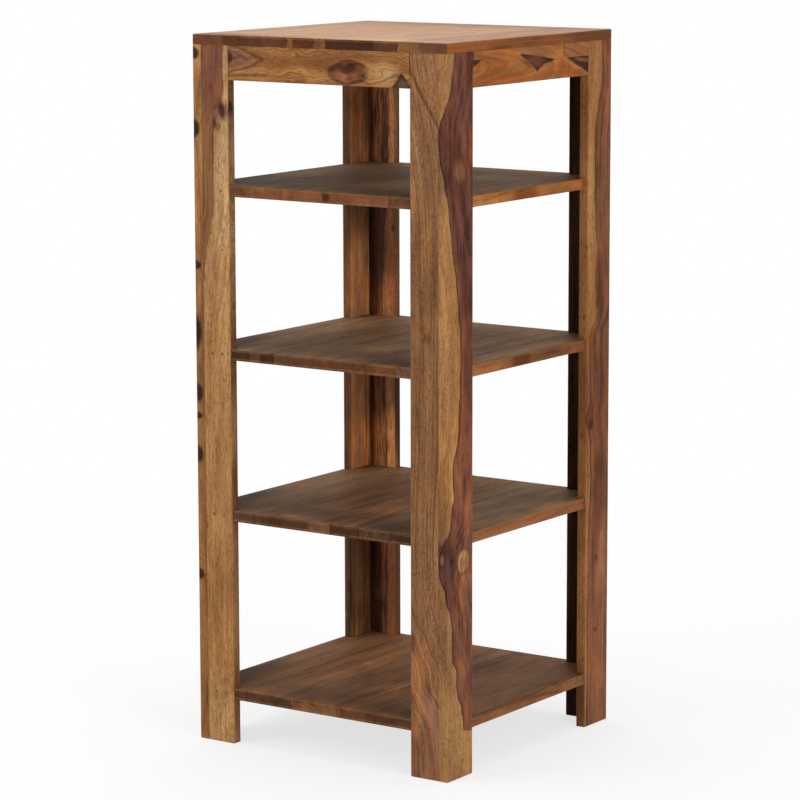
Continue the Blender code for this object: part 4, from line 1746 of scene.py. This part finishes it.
FIGURES: dict[str, Figure] = {
    "front_left_leg_front_board": Figure(
        Timber.PLUM, 11,
        ((1045, -170), (1023, -170), (972, -171), (935, -184), (891, -188.5), (818, -188.5), (780, -194),
         (743, -203), (690, -211), (600, -222), (0, -232)),
        heart_side=-1, banding=0.3, streaks=0.5, mottle=0.8, flecks=0.95, wander=0.003, hoops=0.15,
        curl=0.003,
        marks=(
            patch(-216, 835, 28, 116, (0.250, 0.112, 0.046), softness=0.14, strength=0.85, ragged=0.5),
            stain_and_shade(-201, 850, 2.5, 95, (1.12, 0.94, 0.85)),
            stain_and_shade(-190, 400, ALL, 300, (0.80, 0.71, 0.60), softness=0.5),
            stain_and_shade(-176, 115, 14, 110, (1.20, 1.22, 1.20), softness=0.5),
            stain_and_shade(-170, 770, 12, 200, (1.22, 1.30, 1.40)),
            stain_and_shade(-183, 885, 7, 55, (0.82, 0.74, 0.76)),
            # On the end faces: darker in the upper half, and painted shade where the lower three shelves and
            # the apron meet the leg.
            stain_and_shade(-160, 800, ALL, 250, (0.74, 0.66, 0.66), facing=0, softness=0.3),
            *(stain_and_shade(-160, height, ALL, 55, (0.58, 0.50, 0.53), facing=0) for height in PAINTED_SHADE_HEIGHTS),
            # The knot near the top, and the specks round it.
            Mark(-172, 950, 11, 15, (0.105, 0.038, 0.022), softness=0.5, strength=0.8),
            Mark(-172, 951, 6, 10, INK, softness=0.35, strength=0.9, turning=0.4),
            patch(-160, 955, 9, 9, INK, softness=0.5, through=(-216, 6), facing=0),
            Mark(-186, 932, 3.5, 6, INK, softness=0.6, strength=0.8, turning=0.3),
            Mark(-180, 940, 4, 11, (0.36, 0.16, 0.10), softness=0.6, strength=0.7, turning=0.3),
            Mark(-178, 926, 5, 7, CORDOVAN, softness=0.5, strength=0.7),
            Mark(-193, 983, 2, 6, INK, softness=0.7, strength=0.5, turning=0.2),
        ),
    ),
    "front_left_leg_side_board": Figure(
        Timber.GOLD, 12, ((0, -150),), heart_side=1, streaks=0.7, flecks=0.8,
        marks=(
            stain_and_shade(-190, 360, ALL, 390, (0.78, 0.78, 0.82), softness=0.15),
            stain_and_shade(-190, 900, ALL, 170, (1.16, 1.24, 1.36), softness=0.3),
            stain_and_shade(-220, 50, ALL, 65, (0.84, 0.80, 0.80)),
            # The row of knots along the front arris.
            *(
                Mark(-223, middle, 15, half, SOOT, softness=0.3, through=(-224, 11), turning=0.6)
                for middle, half in SIDE_KNOTS
            ),
        ),
    ),
    "front_right_leg_front_board": Figure(
        Timber.OLIVE, 13,
        ((1045, 96), (960, 114), (870, 132), (780, 140), (500, 138), (300, 134), (236, 146), (214, 163),
         (183, 177), (163, 189), (134, 194), (120, 205), (104, 213), (60, 236), (0, 240)),
        heart_side=-1, banding=0.55, streaks=0.9, wander=0.002, hoops=0.3, rim=0.95, flecks=0.95,
        marks=(
            stain_and_shade(185, 600, ALL, 210, (0.86, 0.84, 0.79), softness=0.4),
            stain_and_shade(185, 945, ALL, 150, (1.24, 1.29, 1.32), softness=0.4),
            # The slanting line near the top, and the pale and dark stripes beside it.
            stain_and_shade(184, 981, 3.2, 52, (0.58, 0.55, 0.54), softness=0.5, slant=-0.62),
            stain_and_shade(176, 985, 4, 50, (1.18, 1.18, 1.12), softness=0.7, slant=-0.62),
            stain_and_shade(168, 1010, 3, 60, (0.78, 0.76, 0.76), softness=0.7, slant=-0.45),
            stain_and_shade(177, 60, 17, 60, (1.20, 1.25, 1.15)),
            Mark(176, 158, 12, 40, CARAMEL, softness=0.7, strength=0.65, turning=0.2),
            stain_and_shade(186, 700, 18, 24, (0.82, 0.80, 0.82)),
            Mark(191, 643, 5, 7, CORDOVAN, softness=0.6, strength=0.65),
        ),
    ),
    "front_right_leg_side_board": Figure(
        Timber.OXBLOOD, 14,
        ((1045, -201), (1000, -212), (969, -223), (944, -233), (923, -236.5), (907, -235), (879, -230),
         (840, -223), (826, -219.6), (770, -209.5), (718, -197), (685, -194), (639, -189), (583, -189),
         (537, -191.5), (486, -197), (458, -207), (437, -207), (415, -204), (403, -209), (376, -212),
         (363, -219.5), (345, -230), (312, -237), (293, -233), (279, -225), (264, -223), (243, -214),
         (215, -209), (180, -209), (160, -199), (129, -196), (106, -186), (93, -183), (69, -180),
         (64, -150), (0, -140)),
        heart_side=1, lean=1.0, face=225.0, banding=0.45, streaks=0.75, mottle=1.1, curl=0.0035,
        wander=0.003, flecks=0.95, rim=0.9,
        marks=(
            stain_and_shade(-196, 878, 24, 50, (0.68, 0.62, 0.58), softness=0.4),
            stain_and_shade(-163, 912, 6, 34, (1.60, 1.20, 0.75)),
            # The blurred knot high up.
            Mark(-190, 878, 13, 15, (0.300, 0.115, 0.050), softness=0.5, strength=0.75, turning=0.3),
            patch(-203, 857, 13, 14, (0.110, 0.036, 0.021), softness=0.6, strength=0.65),
            stain_and_shade(-164, 1000, 10, 60, (0.62, 0.60, 0.72)),
            stain_and_shade(-181, 640, 26, 180, (0.88, 0.80, 0.66)),
            stain_and_shade(-185, 390, 26, 175, (1.62, 1.66, 1.36), softness=0.4),
            stain_and_shade(-200, 90, 26, 120, (0.94, 0.97, 0.94), softness=0.4),
            stain_and_shade(-216, 90, 14, 130, (0.84, 0.80, 0.84), softness=0.4),
            stain_and_shade(-182, 200, 20, 60, (1.08, 1.18, 1.00)),
            stain_and_shade(-220, 285, 12, 140, (0.72, 0.70, 0.78), facing=0, softness=0.4),
            stain_and_shade(-220, 880, 12, 50, (0.70, 0.70, 0.78), facing=0),
            # The pale eye, the dark wood in front of it and the small spot on the front arris.
            Mark(-180, 320, 17, 20, INK, softness=0.3, strength=0.75, turning=0.9),
            patch(-180, 320, 14.5, 17, (0.560, 0.270, 0.095), softness=0.25, strength=0.9),
            patch(-178, 317, 5, 6, (0.300, 0.115, 0.042), softness=0.7, strength=0.8),
            Mark(-212, 323, 5, 6, SOOT, softness=0.4, turning=0.3),
            Mark(-220, 338, 12, 12, (0.070, 0.022, 0.016), softness=0.4, strength=0.85, turning=0.6),
            Mark(-222, 312, 12, 18, (0.120, 0.045, 0.040), softness=0.5, strength=0.7, turning=0.4),
            Mark(-222, 325, 12, 13, INK, softness=0.4, strength=0.8, through=(214, 6)),
            patch(-222, 326, 12, 7, (0.22, 0.10, 0.078), softness=0.5, through=(215, 3.5)),
            # The small knot under the eye.
            Mark(-173, 252, 6, 8, EMBER, softness=0.6, strength=0.7),
            patch(-173, 252, 2.5, 3.5, INK, softness=0.6, strength=0.7),
        ),
    ),
    "back_right_leg_side_board": Figure(
        Timber.RUSSET, 15,
        ((1045, 194), (994, 192), (947, 181), (878, 171), (806, 172), (725, 182), (666, 185), (623, 177),
         (596, 163), (506, 164), (480, 156), (440, 165), (391, 166), (300, 161), (150, 159), (0, 158)),
        heart_side=1, banding=1.0, streaks=0.5, mottle=0.75, wander=0.003, rim=0.95, hoops=0.45, curl=0.002,
        marks=(
            stain_and_shade(199, 372, 26, 52, (0.62, 0.58, 0.58), softness=0.5),
            stain_and_shade(185, 500, ALL, 130, (0.80, 0.73, 0.66)),
            stain_and_shade(186, 675, 11, 50, (0.42, 0.35, 0.28), softness=0.5),
            stain_and_shade(163, 820, 10, 90, (1.38, 1.52, 1.60)),
            stain_and_shade(163, 520, 10, 90, (0.74, 0.72, 0.76)),
            stain_and_shade(190, 985, ALL, 60, (1.15, 1.20, 1.10)),
            stain_and_shade(207, 150, 12, 150, (1.24, 1.42, 1.50)),
            stain_and_shade(155, 55, 12, 55, (0.56, 0.54, 0.62), facing=0),
            stain_and_shade(155, 340, 12, 80, (0.74, 0.72, 0.78), facing=0),
            stain_and_shade(155, 845, 12, 110, (0.76, 0.68, 0.72), facing=0),
            Mark(168, 469, 7, 8, INK, softness=0.4),
            Mark(185, 261, 3, 4, INK, softness=0.5, strength=0.8),
            Mark(184, 149, 3, 4, INK, softness=0.5, strength=0.8),
        ),
    ),
    "back_right_leg_back_board": Figure(
        # Partly painted shade: a dark log, picked for the near-black inner face that lies in deep shade
        # inside the shelf, and a tint that darkens that whole face more.
        Timber.EBONY, 16, ((0, 300),), heart_side=-1, pith_offset=0.20, flecks=0.4,
        marks=(stain_and_shade(185, 520, ALL, 900, (0.45, 0.36, 0.28), through=INNER_Y),),
    ),
    "back_left_leg_side_board": Figure(
        Timber.CINNAMON, 17, ((0, 120),), heart_side=1, pith_offset=0.16, curl=0.004, banding=0.6,
        hoops=0.2,
        marks=(
            # Painted light and shade on the inner face: darker in the bay under the second shelf and just
            # under the fourth, lighter just above the second, third and fourth shelves.
            stain_and_shade(190, 200, ALL, 130, (0.50, 0.50, 0.52), through=INNER_X),
            stain_and_shade(190, 375, ALL, 55, (1.75, 1.55, 1.40), through=INNER_X),
            stain_and_shade(190, 665, ALL, 75, (1.35, 1.30, 1.25), through=INNER_X),
            stain_and_shade(190, 775, ALL, 48, (0.52, 0.54, 0.62), through=INNER_X),
            stain_and_shade(190, 880, ALL, 45, (1.25, 1.10, 1.18), through=INNER_X),
            # The front edge is darker all along, and lighter just above the third shelf.
            stain_and_shade(155, 575, 20, 540, (0.28, 0.26, 0.26), facing=0, softness=0.2),
            stain_and_shade(155, 625, 20, 70, (1.50, 1.50, 1.45), facing=0),
        ),
    ),
    "back_left_leg_back_board": Figure(
        Timber.DUSK, 18, ((1045, -176), (840, -168), (600, -178), (300, -172), (0, -182)),
        heart_side=-1, curl=0.004, banding=0.7, hoops=0.2, mottle=1.1,
        marks=(
            # Painted light on the inner face: lighter near the foot, just above the second shelf and about
            # the third.
            stain_and_shade(-185, 58, ALL, 55, (1.50, 1.45, 1.35), through=INNER_Y),
            stain_and_shade(-185, 370, ALL, 60, (3.00, 3.10, 2.70), through=INNER_Y),
            stain_and_shade(-185, 600, ALL, 50, (1.60, 1.60, 1.60), through=INNER_Y),
            Mark(-193, 735, 17, 100, (0.100, 0.043, 0.024), softness=0.3, strength=0.85, through=INNER_Y,
                 turning=0.4),
            stain_and_shade(-172, 640, 14, 34, (1.60, 1.45, 1.30), through=INNER_Y),
            Mark(-163, 738, 3, 6, INK, softness=0.5, strength=0.85, through=INNER_Y),
            # Painted light on the inner face above the fourth shelf.
            stain_and_shade(-185, 920, ALL, 95, (2.60, 2.70, 2.60), through=INNER_Y),
            # Painted shade along the inside corner, against the side board.
            stain_and_shade(-205, 520, 6, 600, (0.45, 0.42, 0.42), through=INNER_Y),
            # The end faces are darker all along, darkest near 450 mm and lighter near 625 mm.
            stain_and_shade(-160, 520, ALL, 900, (0.60, 0.56, 0.52), facing=0),
            stain_and_shade(-160, 450, ALL, 75, (0.34, 0.22, 0.12), facing=0),
            stain_and_shade(-160, 625, ALL, 75, (1.50, 1.35, 1.25), facing=0),
        ),
    ),
    "front_apron": Figure(
        Timber.GOLD, 21, ((0, 1120),), heart_side=1, pith_offset=0.06, wander=0.012, curl=0.012,
        banding=0.6, streaks=0.7, hoops=0.6, flecks=0.8,
        marks=(
            patch(1003, -130, 2.5, 40, CORDOVAN, softness=0.6, strength=0.75, slant=0.05),
            # The nested rings of the left-hand knot, from the outside in.
            Mark(1026, -166, 22, 70, CORDOVAN, power=1.3, softness=0.10, turning=0.7, ragged=0.5),
            patch(1026, -166, 19, 61, (0.300, 0.130, 0.058), power=1.3, softness=0.10, ragged=0.6),
            patch(1026, -166, 15, 46, CORDOVAN, power=1.3, softness=0.16, strength=0.8, ragged=0.6),
            patch(1026, -166, 12, 36, (0.240, 0.105, 0.050), power=1.4, softness=0.3),
            patch(1028, -158, 9, 7, INK, softness=0.5),
            # The dark knot in the middle.
            Mark(1013, 55, 18, 36, CORDOVAN, softness=0.12, turning=0.9, ragged=0.6),
            patch(1006, 42, 8, 14, (0.330, 0.125, 0.042), softness=0.6, strength=0.85),
            patch(1008, 66, 6, 8, (0.270, 0.110, 0.042), softness=0.6, strength=0.7),
            patch(1020, 60, 6, 8, INK, softness=0.6, strength=0.85),
            # The pale wood beside it, and the dark wedge at the right.
            Mark(1014, 114, 20, 27, (0.440, 0.225, 0.086), softness=0.35, strength=0.9, turning=0.5),
            patch(1014, 118, 12, 15, (0.520, 0.280, 0.110), softness=0.5, strength=0.7),
            Mark(995, 146, 22, 17, INK, power=1.0, softness=0.14, turning=0.5, ragged=0.5),
            patch(998, 148, 11, 9, MAUVE, power=1.4, softness=0.3, strength=0.9),
        ),
    ),
    "right_apron": Figure(
        Timber.AMBER, 22, ((0, 1020),), heart_side=1, pith_offset=0.0, pith_depth=-0.045, pith_slope=-0.10,
        heart_radius=0.0, wander=0.010, curl=0.002, flecks=0.35, banding=0.7, streaks=0.8, hoops=0.3,
        marks=(
            # The brown patches and the thin line along the upper edge.
            patch(1044, -148, 11, 16, BRICK, power=8.0, softness=0.08, strength=0.85, ragged=0.3),
            patch(1046, 15, 13, 62, (0.240, 0.105, 0.042), softness=0.4, strength=0.7, slant=-0.1),
            patch(1044, 128, 19, 44, BRICK, power=8.0, softness=0.05, strength=0.85, ragged=0.2),
            patch(1036, 85, 10, 0.9, INK, power=6.0, softness=0.5, ragged=0.0),
            stain_and_shade(999, -45, 7, 85, (1.05, 0.86, 0.72)),
            stain_and_shade(1006, 100, 8, 42, (1.06, 0.84, 0.74)),
            # The two dark wedges with their bright rims, and the end of a third.
            Mark(1029, 13, 29, 62, CARAMEL, power=0.8, cut=1, softness=0.12, strength=0.6, ragged=0.3,
                 turning=0.4, slant=-0.13),
            patch(1030, 13, 9, 47, SOOT, cut=1, softness=0.12, ragged=0.25, slant=-0.13),
            patch(1029, 12, 23, 44, SOOT, power=0.85, cut=1, softness=0.10, ragged=0.2, slant=-0.13),
            patch(1024, 6, 8, 26, (0.150, 0.044, 0.018), softness=0.6, strength=0.9, ragged=0.5),
            Mark(1024, 166, 36, 94, CARAMEL, power=1.0, cut=1, softness=0.10, strength=0.6, ragged=0.3,
                 turning=0.4),
            patch(1024, 166, 30, 79, SOOT, power=1.0, cut=1, softness=0.07, ragged=0.2),
            patch(1018, 138, 3.0, 24, (0.260, 0.092, 0.036), softness=0.6, strength=0.9, slant=-0.12),
            Mark(1033, -160, 13, 28, (0.070, 0.022, 0.012), power=1.1, cut=1, softness=0.14, ragged=0.4,
                 turning=0.4),
        ),
    ),
}


@dataclass(frozen=True)
class Plank:
    """What is seen of one plank of the top or of a shelf.

    Attributes:
        timber: The log that it comes from.
        ends: The mean colour of its end grain.
        edges: The mean colour of its outer edge.
        marks: Its stains and patches.
    """

    timber: Timber
    ends: Colour
    edges: Colour | None = None
    marks: tuple[Mark, ...] = ()


PANELS: dict[str, tuple[Plank, ...]] = {
    "top": (
        Plank(Timber.TAN, (0.345, 0.138, 0.045), marks=(end_stain(-168, -139, (0.62, 0.58, 0.66)),)),
        Plank(Timber.TAN, (0.273, 0.095, 0.036), marks=(end_stain(-140, -122, (0.72, 0.68, 0.90)),)),
        Plank(Timber.TAN, (0.520, 0.200, 0.072), marks=(
            end_stain(-44, -5, (0.40, 0.29, 0.24), softness=0.08),
            face_stain(-22, -40, 3, 130, (0.66, 0.62, 0.64)),
        )),
        Plank(Timber.TAN, (0.100, 0.036, 0.019), marks=(
            end_stain(100, 140, (2.20, 2.40, 2.20)),
            face_stain(72, 70, 18, 140, (1.12, 0.96, 0.97)),
            face_stain(104, -30, 3, 120, (0.62, 0.56, 0.58)),
            face_stain(44, -140, 6, 70, (1.14, 1.18, 1.20)),
        )),
        Plank(Timber.COPPER, (0.560, 0.265, 0.095), (0.215, 0.072, 0.019), marks=(
            end_stain(176, 230, (0.50, 0.47, 0.70)), edge_stain(110, 230, (0.72, 0.66, 0.68)),
            edge_stain(-235, -80, (1.30, 1.30, 1.15)),
        )),
    ),
    "shelf_4": (
        Plank(Timber.MOSS_SHEEN, (0.115, 0.045, 0.019)),
        Plank(Timber.MOSS_SHEEN, (0.185, 0.074, 0.030), marks=(
            end_stain(-122, -94, (1.30, 1.30, 1.30)), face_stain(-74, -186, 9, 28, (0.62, 0.57, 0.50)),
        )),
        Plank(Timber.MOSS_SHEEN, (0.225, 0.082, 0.029)),
        Plank(Timber.MOSS_SHEEN, (0.185, 0.068, 0.026), marks=(
            patch(13, -220, 6, 60, (0.070, 0.025, 0.014), softness=0.5, through=(833, 9), facing=2),
        )),
        Plank(Timber.UMBER, (0.145, 0.062, 0.029), (0.335, 0.124, 0.030), marks=(
            edge_stain(-40, 25, (0.66, 0.52, 0.50)), edge_stain(-230, -80, (1.50, 1.60, 1.60)),
        )),
    ),
    "shelf_3": (
        Plank(Timber.UMBER, (0.050, 0.023, 0.013), marks=(end_stain(-126, -107, (2.30, 1.95, 1.95)),)),
        Plank(Timber.UMBER, (0.100, 0.045, 0.021), marks=(
            face_stain(-32, -36, 8, 60, (0.64, 0.60, 0.56)),
        )),
        Plank(Timber.UMBER, (0.102, 0.039, 0.017)),
        Plank(Timber.UMBER, (0.106, 0.042, 0.018), marks=(end_stain(96, 126, (1.30, 1.30, 1.30)),)),
        Plank(Timber.UMBER, (0.136, 0.067, 0.035), (0.205, 0.078, 0.026), marks=(
            edge_stain(-230, -70, (1.50, 1.62, 1.60)), edge_stain(-45, 0, (0.66, 0.50, 0.46)),
            edge_stain(95, 230, (1.25, 1.25, 1.25)),
        )),
    ),
    "shelf_2": (
        Plank(Timber.UMBER, (0.088, 0.042, 0.022)),
        Plank(Timber.BARK, (0.072, 0.034, 0.017), marks=(
            end_stain(-22, 25, (1.85, 1.75, 1.75)), face_stain(-18, -78, 7, 50, (0.56, 0.52, 0.48)),
            face_stain(-46, -30, 9, 60, (0.66, 0.62, 0.58)),
            face_stain(4, -188, 12, 26, (0.50, 0.48, 0.44)),
            face_stain(-63, -203, 15, 8, (1.50, 1.55, 1.55)),
        )),
        Plank(Timber.BARK, (0.062, 0.027, 0.017), marks=(
            face_stain(33, -168, 1.6, 60, (0.50, 0.45, 0.42)),
        )),
        Plank(Timber.UMBER, (0.090, 0.043, 0.024), marks=(
            end_stain(122, 150, (0.62, 0.56, 0.54)), end_stain(76, 120, (1.25, 1.25, 1.25)),
        )),
        Plank(Timber.UMBER, (0.050, 0.024, 0.012), (0.240, 0.094, 0.032), marks=(
            edge_stain(-230, -95, (1.20, 1.25, 1.35)),
        )),
    ),
    "shelf_1": (
        Plank(Timber.BARK, (0.088, 0.035, 0.019)),
        Plank(Timber.BARK, (0.097, 0.042, 0.022), marks=(
            end_stain(-98, -62, (0.72, 0.78, 0.80)), face_stain(-66, -180, 8, 36, (0.58, 0.54, 0.50)),
            face_stain(-94, -112, 8, 70, (1.22, 1.20, 1.16)),
        )),
        Plank(Timber.BARK, (0.195, 0.085, 0.035), marks=(
            face_stain(-3, -150, 1.8, 80, (0.58, 0.52, 0.48)),
            face_stain(21, -120, 1.8, 90, (0.62, 0.56, 0.52)),
        )),
        Plank(Timber.BARK, (0.125, 0.049, 0.021), marks=(end_stain(78, 100, (0.66, 0.66, 0.68)),)),
        Plank(Timber.BARK, (0.072, 0.032, 0.017), (0.270, 0.115, 0.043), marks=(
            edge_stain(15, 95, (1.20, 1.20, 1.20)),
        )),
    ),
}

# Painted shade on every shelf: darker along the front, and dark in the corner just behind the front left leg
# and in the one by the back right leg.
SHELF_PAINTED_SHADE = (
    shade(0, -180, ALL, 36, (0.74, 0.72, 0.72)),
    shade(-208, -122, 30, 75, (0.30, 0.30, 0.26)),
    shade(222, 175, 26, 40, (0.50, 0.45, 0.40)),
)
# Lighter and darker places on each panel's upper face. On the shelves most are painted light and shade: the
# shadow of the front right leg near the front, pools of light where it reaches in between, glare at the back
# right of the highest shelf and shade in the corner by the back right leg. On the top they darken the front
# left corner and the back, and lighten the front right.
SHADES: dict[str, tuple[Mark, ...]] = {
    "top": (
        shade(-195, -208, 60, 24, (0.38, 0.34, 0.28)), shade(-100, -212, 70, 16, (0.60, 0.56, 0.50)),
        shade(145, -205, 85, 24, (1.30, 1.45, 1.75)), shade(-40, 210, 240, 60, (0.56, 0.42, 0.24)),
        shade(-140, 110, 150, 80, (0.86, 0.76, 0.64)), shade(-205, -40, 40, 90, (0.80, 0.80, 0.74)),
    ),
    "shelf_4": (
        shade(-130, -40, 26, 70, (1.36, 1.34, 1.28)), shade(25, -70, 34, 50, (1.36, 1.42, 1.44)),
        shade(100, 85, 36, 45, (1.55, 1.70, 1.85)), shade(208, 130, 26, 65, (0.56, 0.54, 0.50)),
        shade(100, -200, 50, 26, (0.60, 0.55, 0.50)),
    ),
    "shelf_3": (
        shade(-135, -190, 28, 40, (1.30, 1.40, 1.38)), shade(125, -200, 34, 30, (0.50, 0.44, 0.40)),
        shade(28, -80, 30, 40, (1.48, 1.56, 1.50)), shade(-65, -30, 50, 60, (1.26, 1.26, 1.28)),
        shade(156, 5, 24, 36, (0.76, 0.78, 0.74)),
    ),
    "shelf_2": (
        shade(118, -200, 42, 30, (0.46, 0.50, 0.44)), shade(-55, -152, 50, 24, (0.62, 0.64, 0.64)),
        shade(-130, -35, 26, 66, (1.32, 1.38, 1.34)), shade(30, -80, 26, 34, (1.42, 1.46, 1.36)),
        shade(202, 80, 20, 34, (1.40, 1.40, 1.32)),
    ),
    "shelf_1": (
        shade(-132, -110, 28, 120, (1.42, 1.42, 1.26)), shade(-76, 5, 24, 120, (2.00, 2.00, 1.90)),
        shade(105, -200, 60, 26, (0.62, 0.66, 0.60)), shade(30, -80, 26, 34, (1.40, 1.36, 1.40)),
        shade(204, 30, 22, 130, (0.72, 0.80, 0.78)),
    ),
}

HIDDEN_APRONS: dict[str, tuple[Grain, Timber, int]] = {
    "back_apron": (Grain.END_RAIL, Timber.CHESTNUT, 23),
    "left_apron": (Grain.SIDE_RAIL, Timber.AMBER, 24),
}
LOW_PANELS = ("shelf_1", "shelf_2")
LOW_LOOKS = {"banding": 0.45, "streaks": 0.55, "mottle": 0.6, "flecks": 0.8, "joint": 0.75}
HIGH_LOOKS = {**LOW_LOOKS, "banding": 0.35, "joint": 0.45}


def draw_figures() -> dict[str, Figure]:
    """Draw the figure of every board.

    Returns:
        The figures, by the name of the board's solid.
    """
    figures = dict(FIGURES)
    for node, (grain, timber, seed) in HIDDEN_APRONS.items():
        figures[node] = plain_figure(node, grain, timber, seed)
    for row, (panel, planks) in enumerate(PANELS.items()):
        looks = LOW_LOOKS if panel in LOW_PANELS else HIGH_LOOKS
        # Each shelf plank takes the painted shade shared by all shelves, and the panel's lighter and darker
        # places that reach it.
        corners = () if panel == "top" else SHELF_PAINTED_SHADE
        for number, plank in enumerate(planks, start=1):
            node = f"{panel}_plank_{number}"
            quiet = plain_figure(node, Grain.PLANK, plank.timber, PLANK_SEED + PANEL_SEED_STEP * row + number)
            left, right = (corner.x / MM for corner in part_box(node))
            near = tuple(
                mark for mark in SHADES[panel]
                if left - 2 * mark.half_across < mark.across < right + 2 * mark.half_across
            )
            figures[node] = replace(
                quiet, ends=plank.ends, edges=plank.edges, marks=plank.marks + corners + near, **looks,
            )
    return figures


def main() -> None:
    """Dress the shelf and set up the studio."""
    logging.basicConfig(level=logging.INFO, format="%(message)s")
    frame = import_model()
    figures = draw_figures()
    recipes = RosewoodRecipes()
    upright = RosewoodFinish(recipes)
    table = RosewoodFinish(recipes, gloss=0.19, matt=0.42, thirst=0.60)
    shelf = RosewoodFinish(recipes, gloss=0.06, matt=0.62, thirst=0.0)
    matched = FillerFinish(paste=(0.205, 0.094, 0.042), dust=(0.150, 0.066, 0.029))
    for end in End:
        for side in Side:
            filler = FillerFinish() if side is Side.LEFT else matched
            Leg(upright, figures, end=end, side=side, filler=filler).build()
    ApronFrame(upright, figures).build()
    PlankTop(table, figures).build()
    for level in range(1, SHELF_COUNT + 1):
        PlankShelf(shelf, figures, level=level).build()
    HiddenFixings(frame["nodes"]).build()
    Studio().build()


if __name__ == "__main__":
    main()
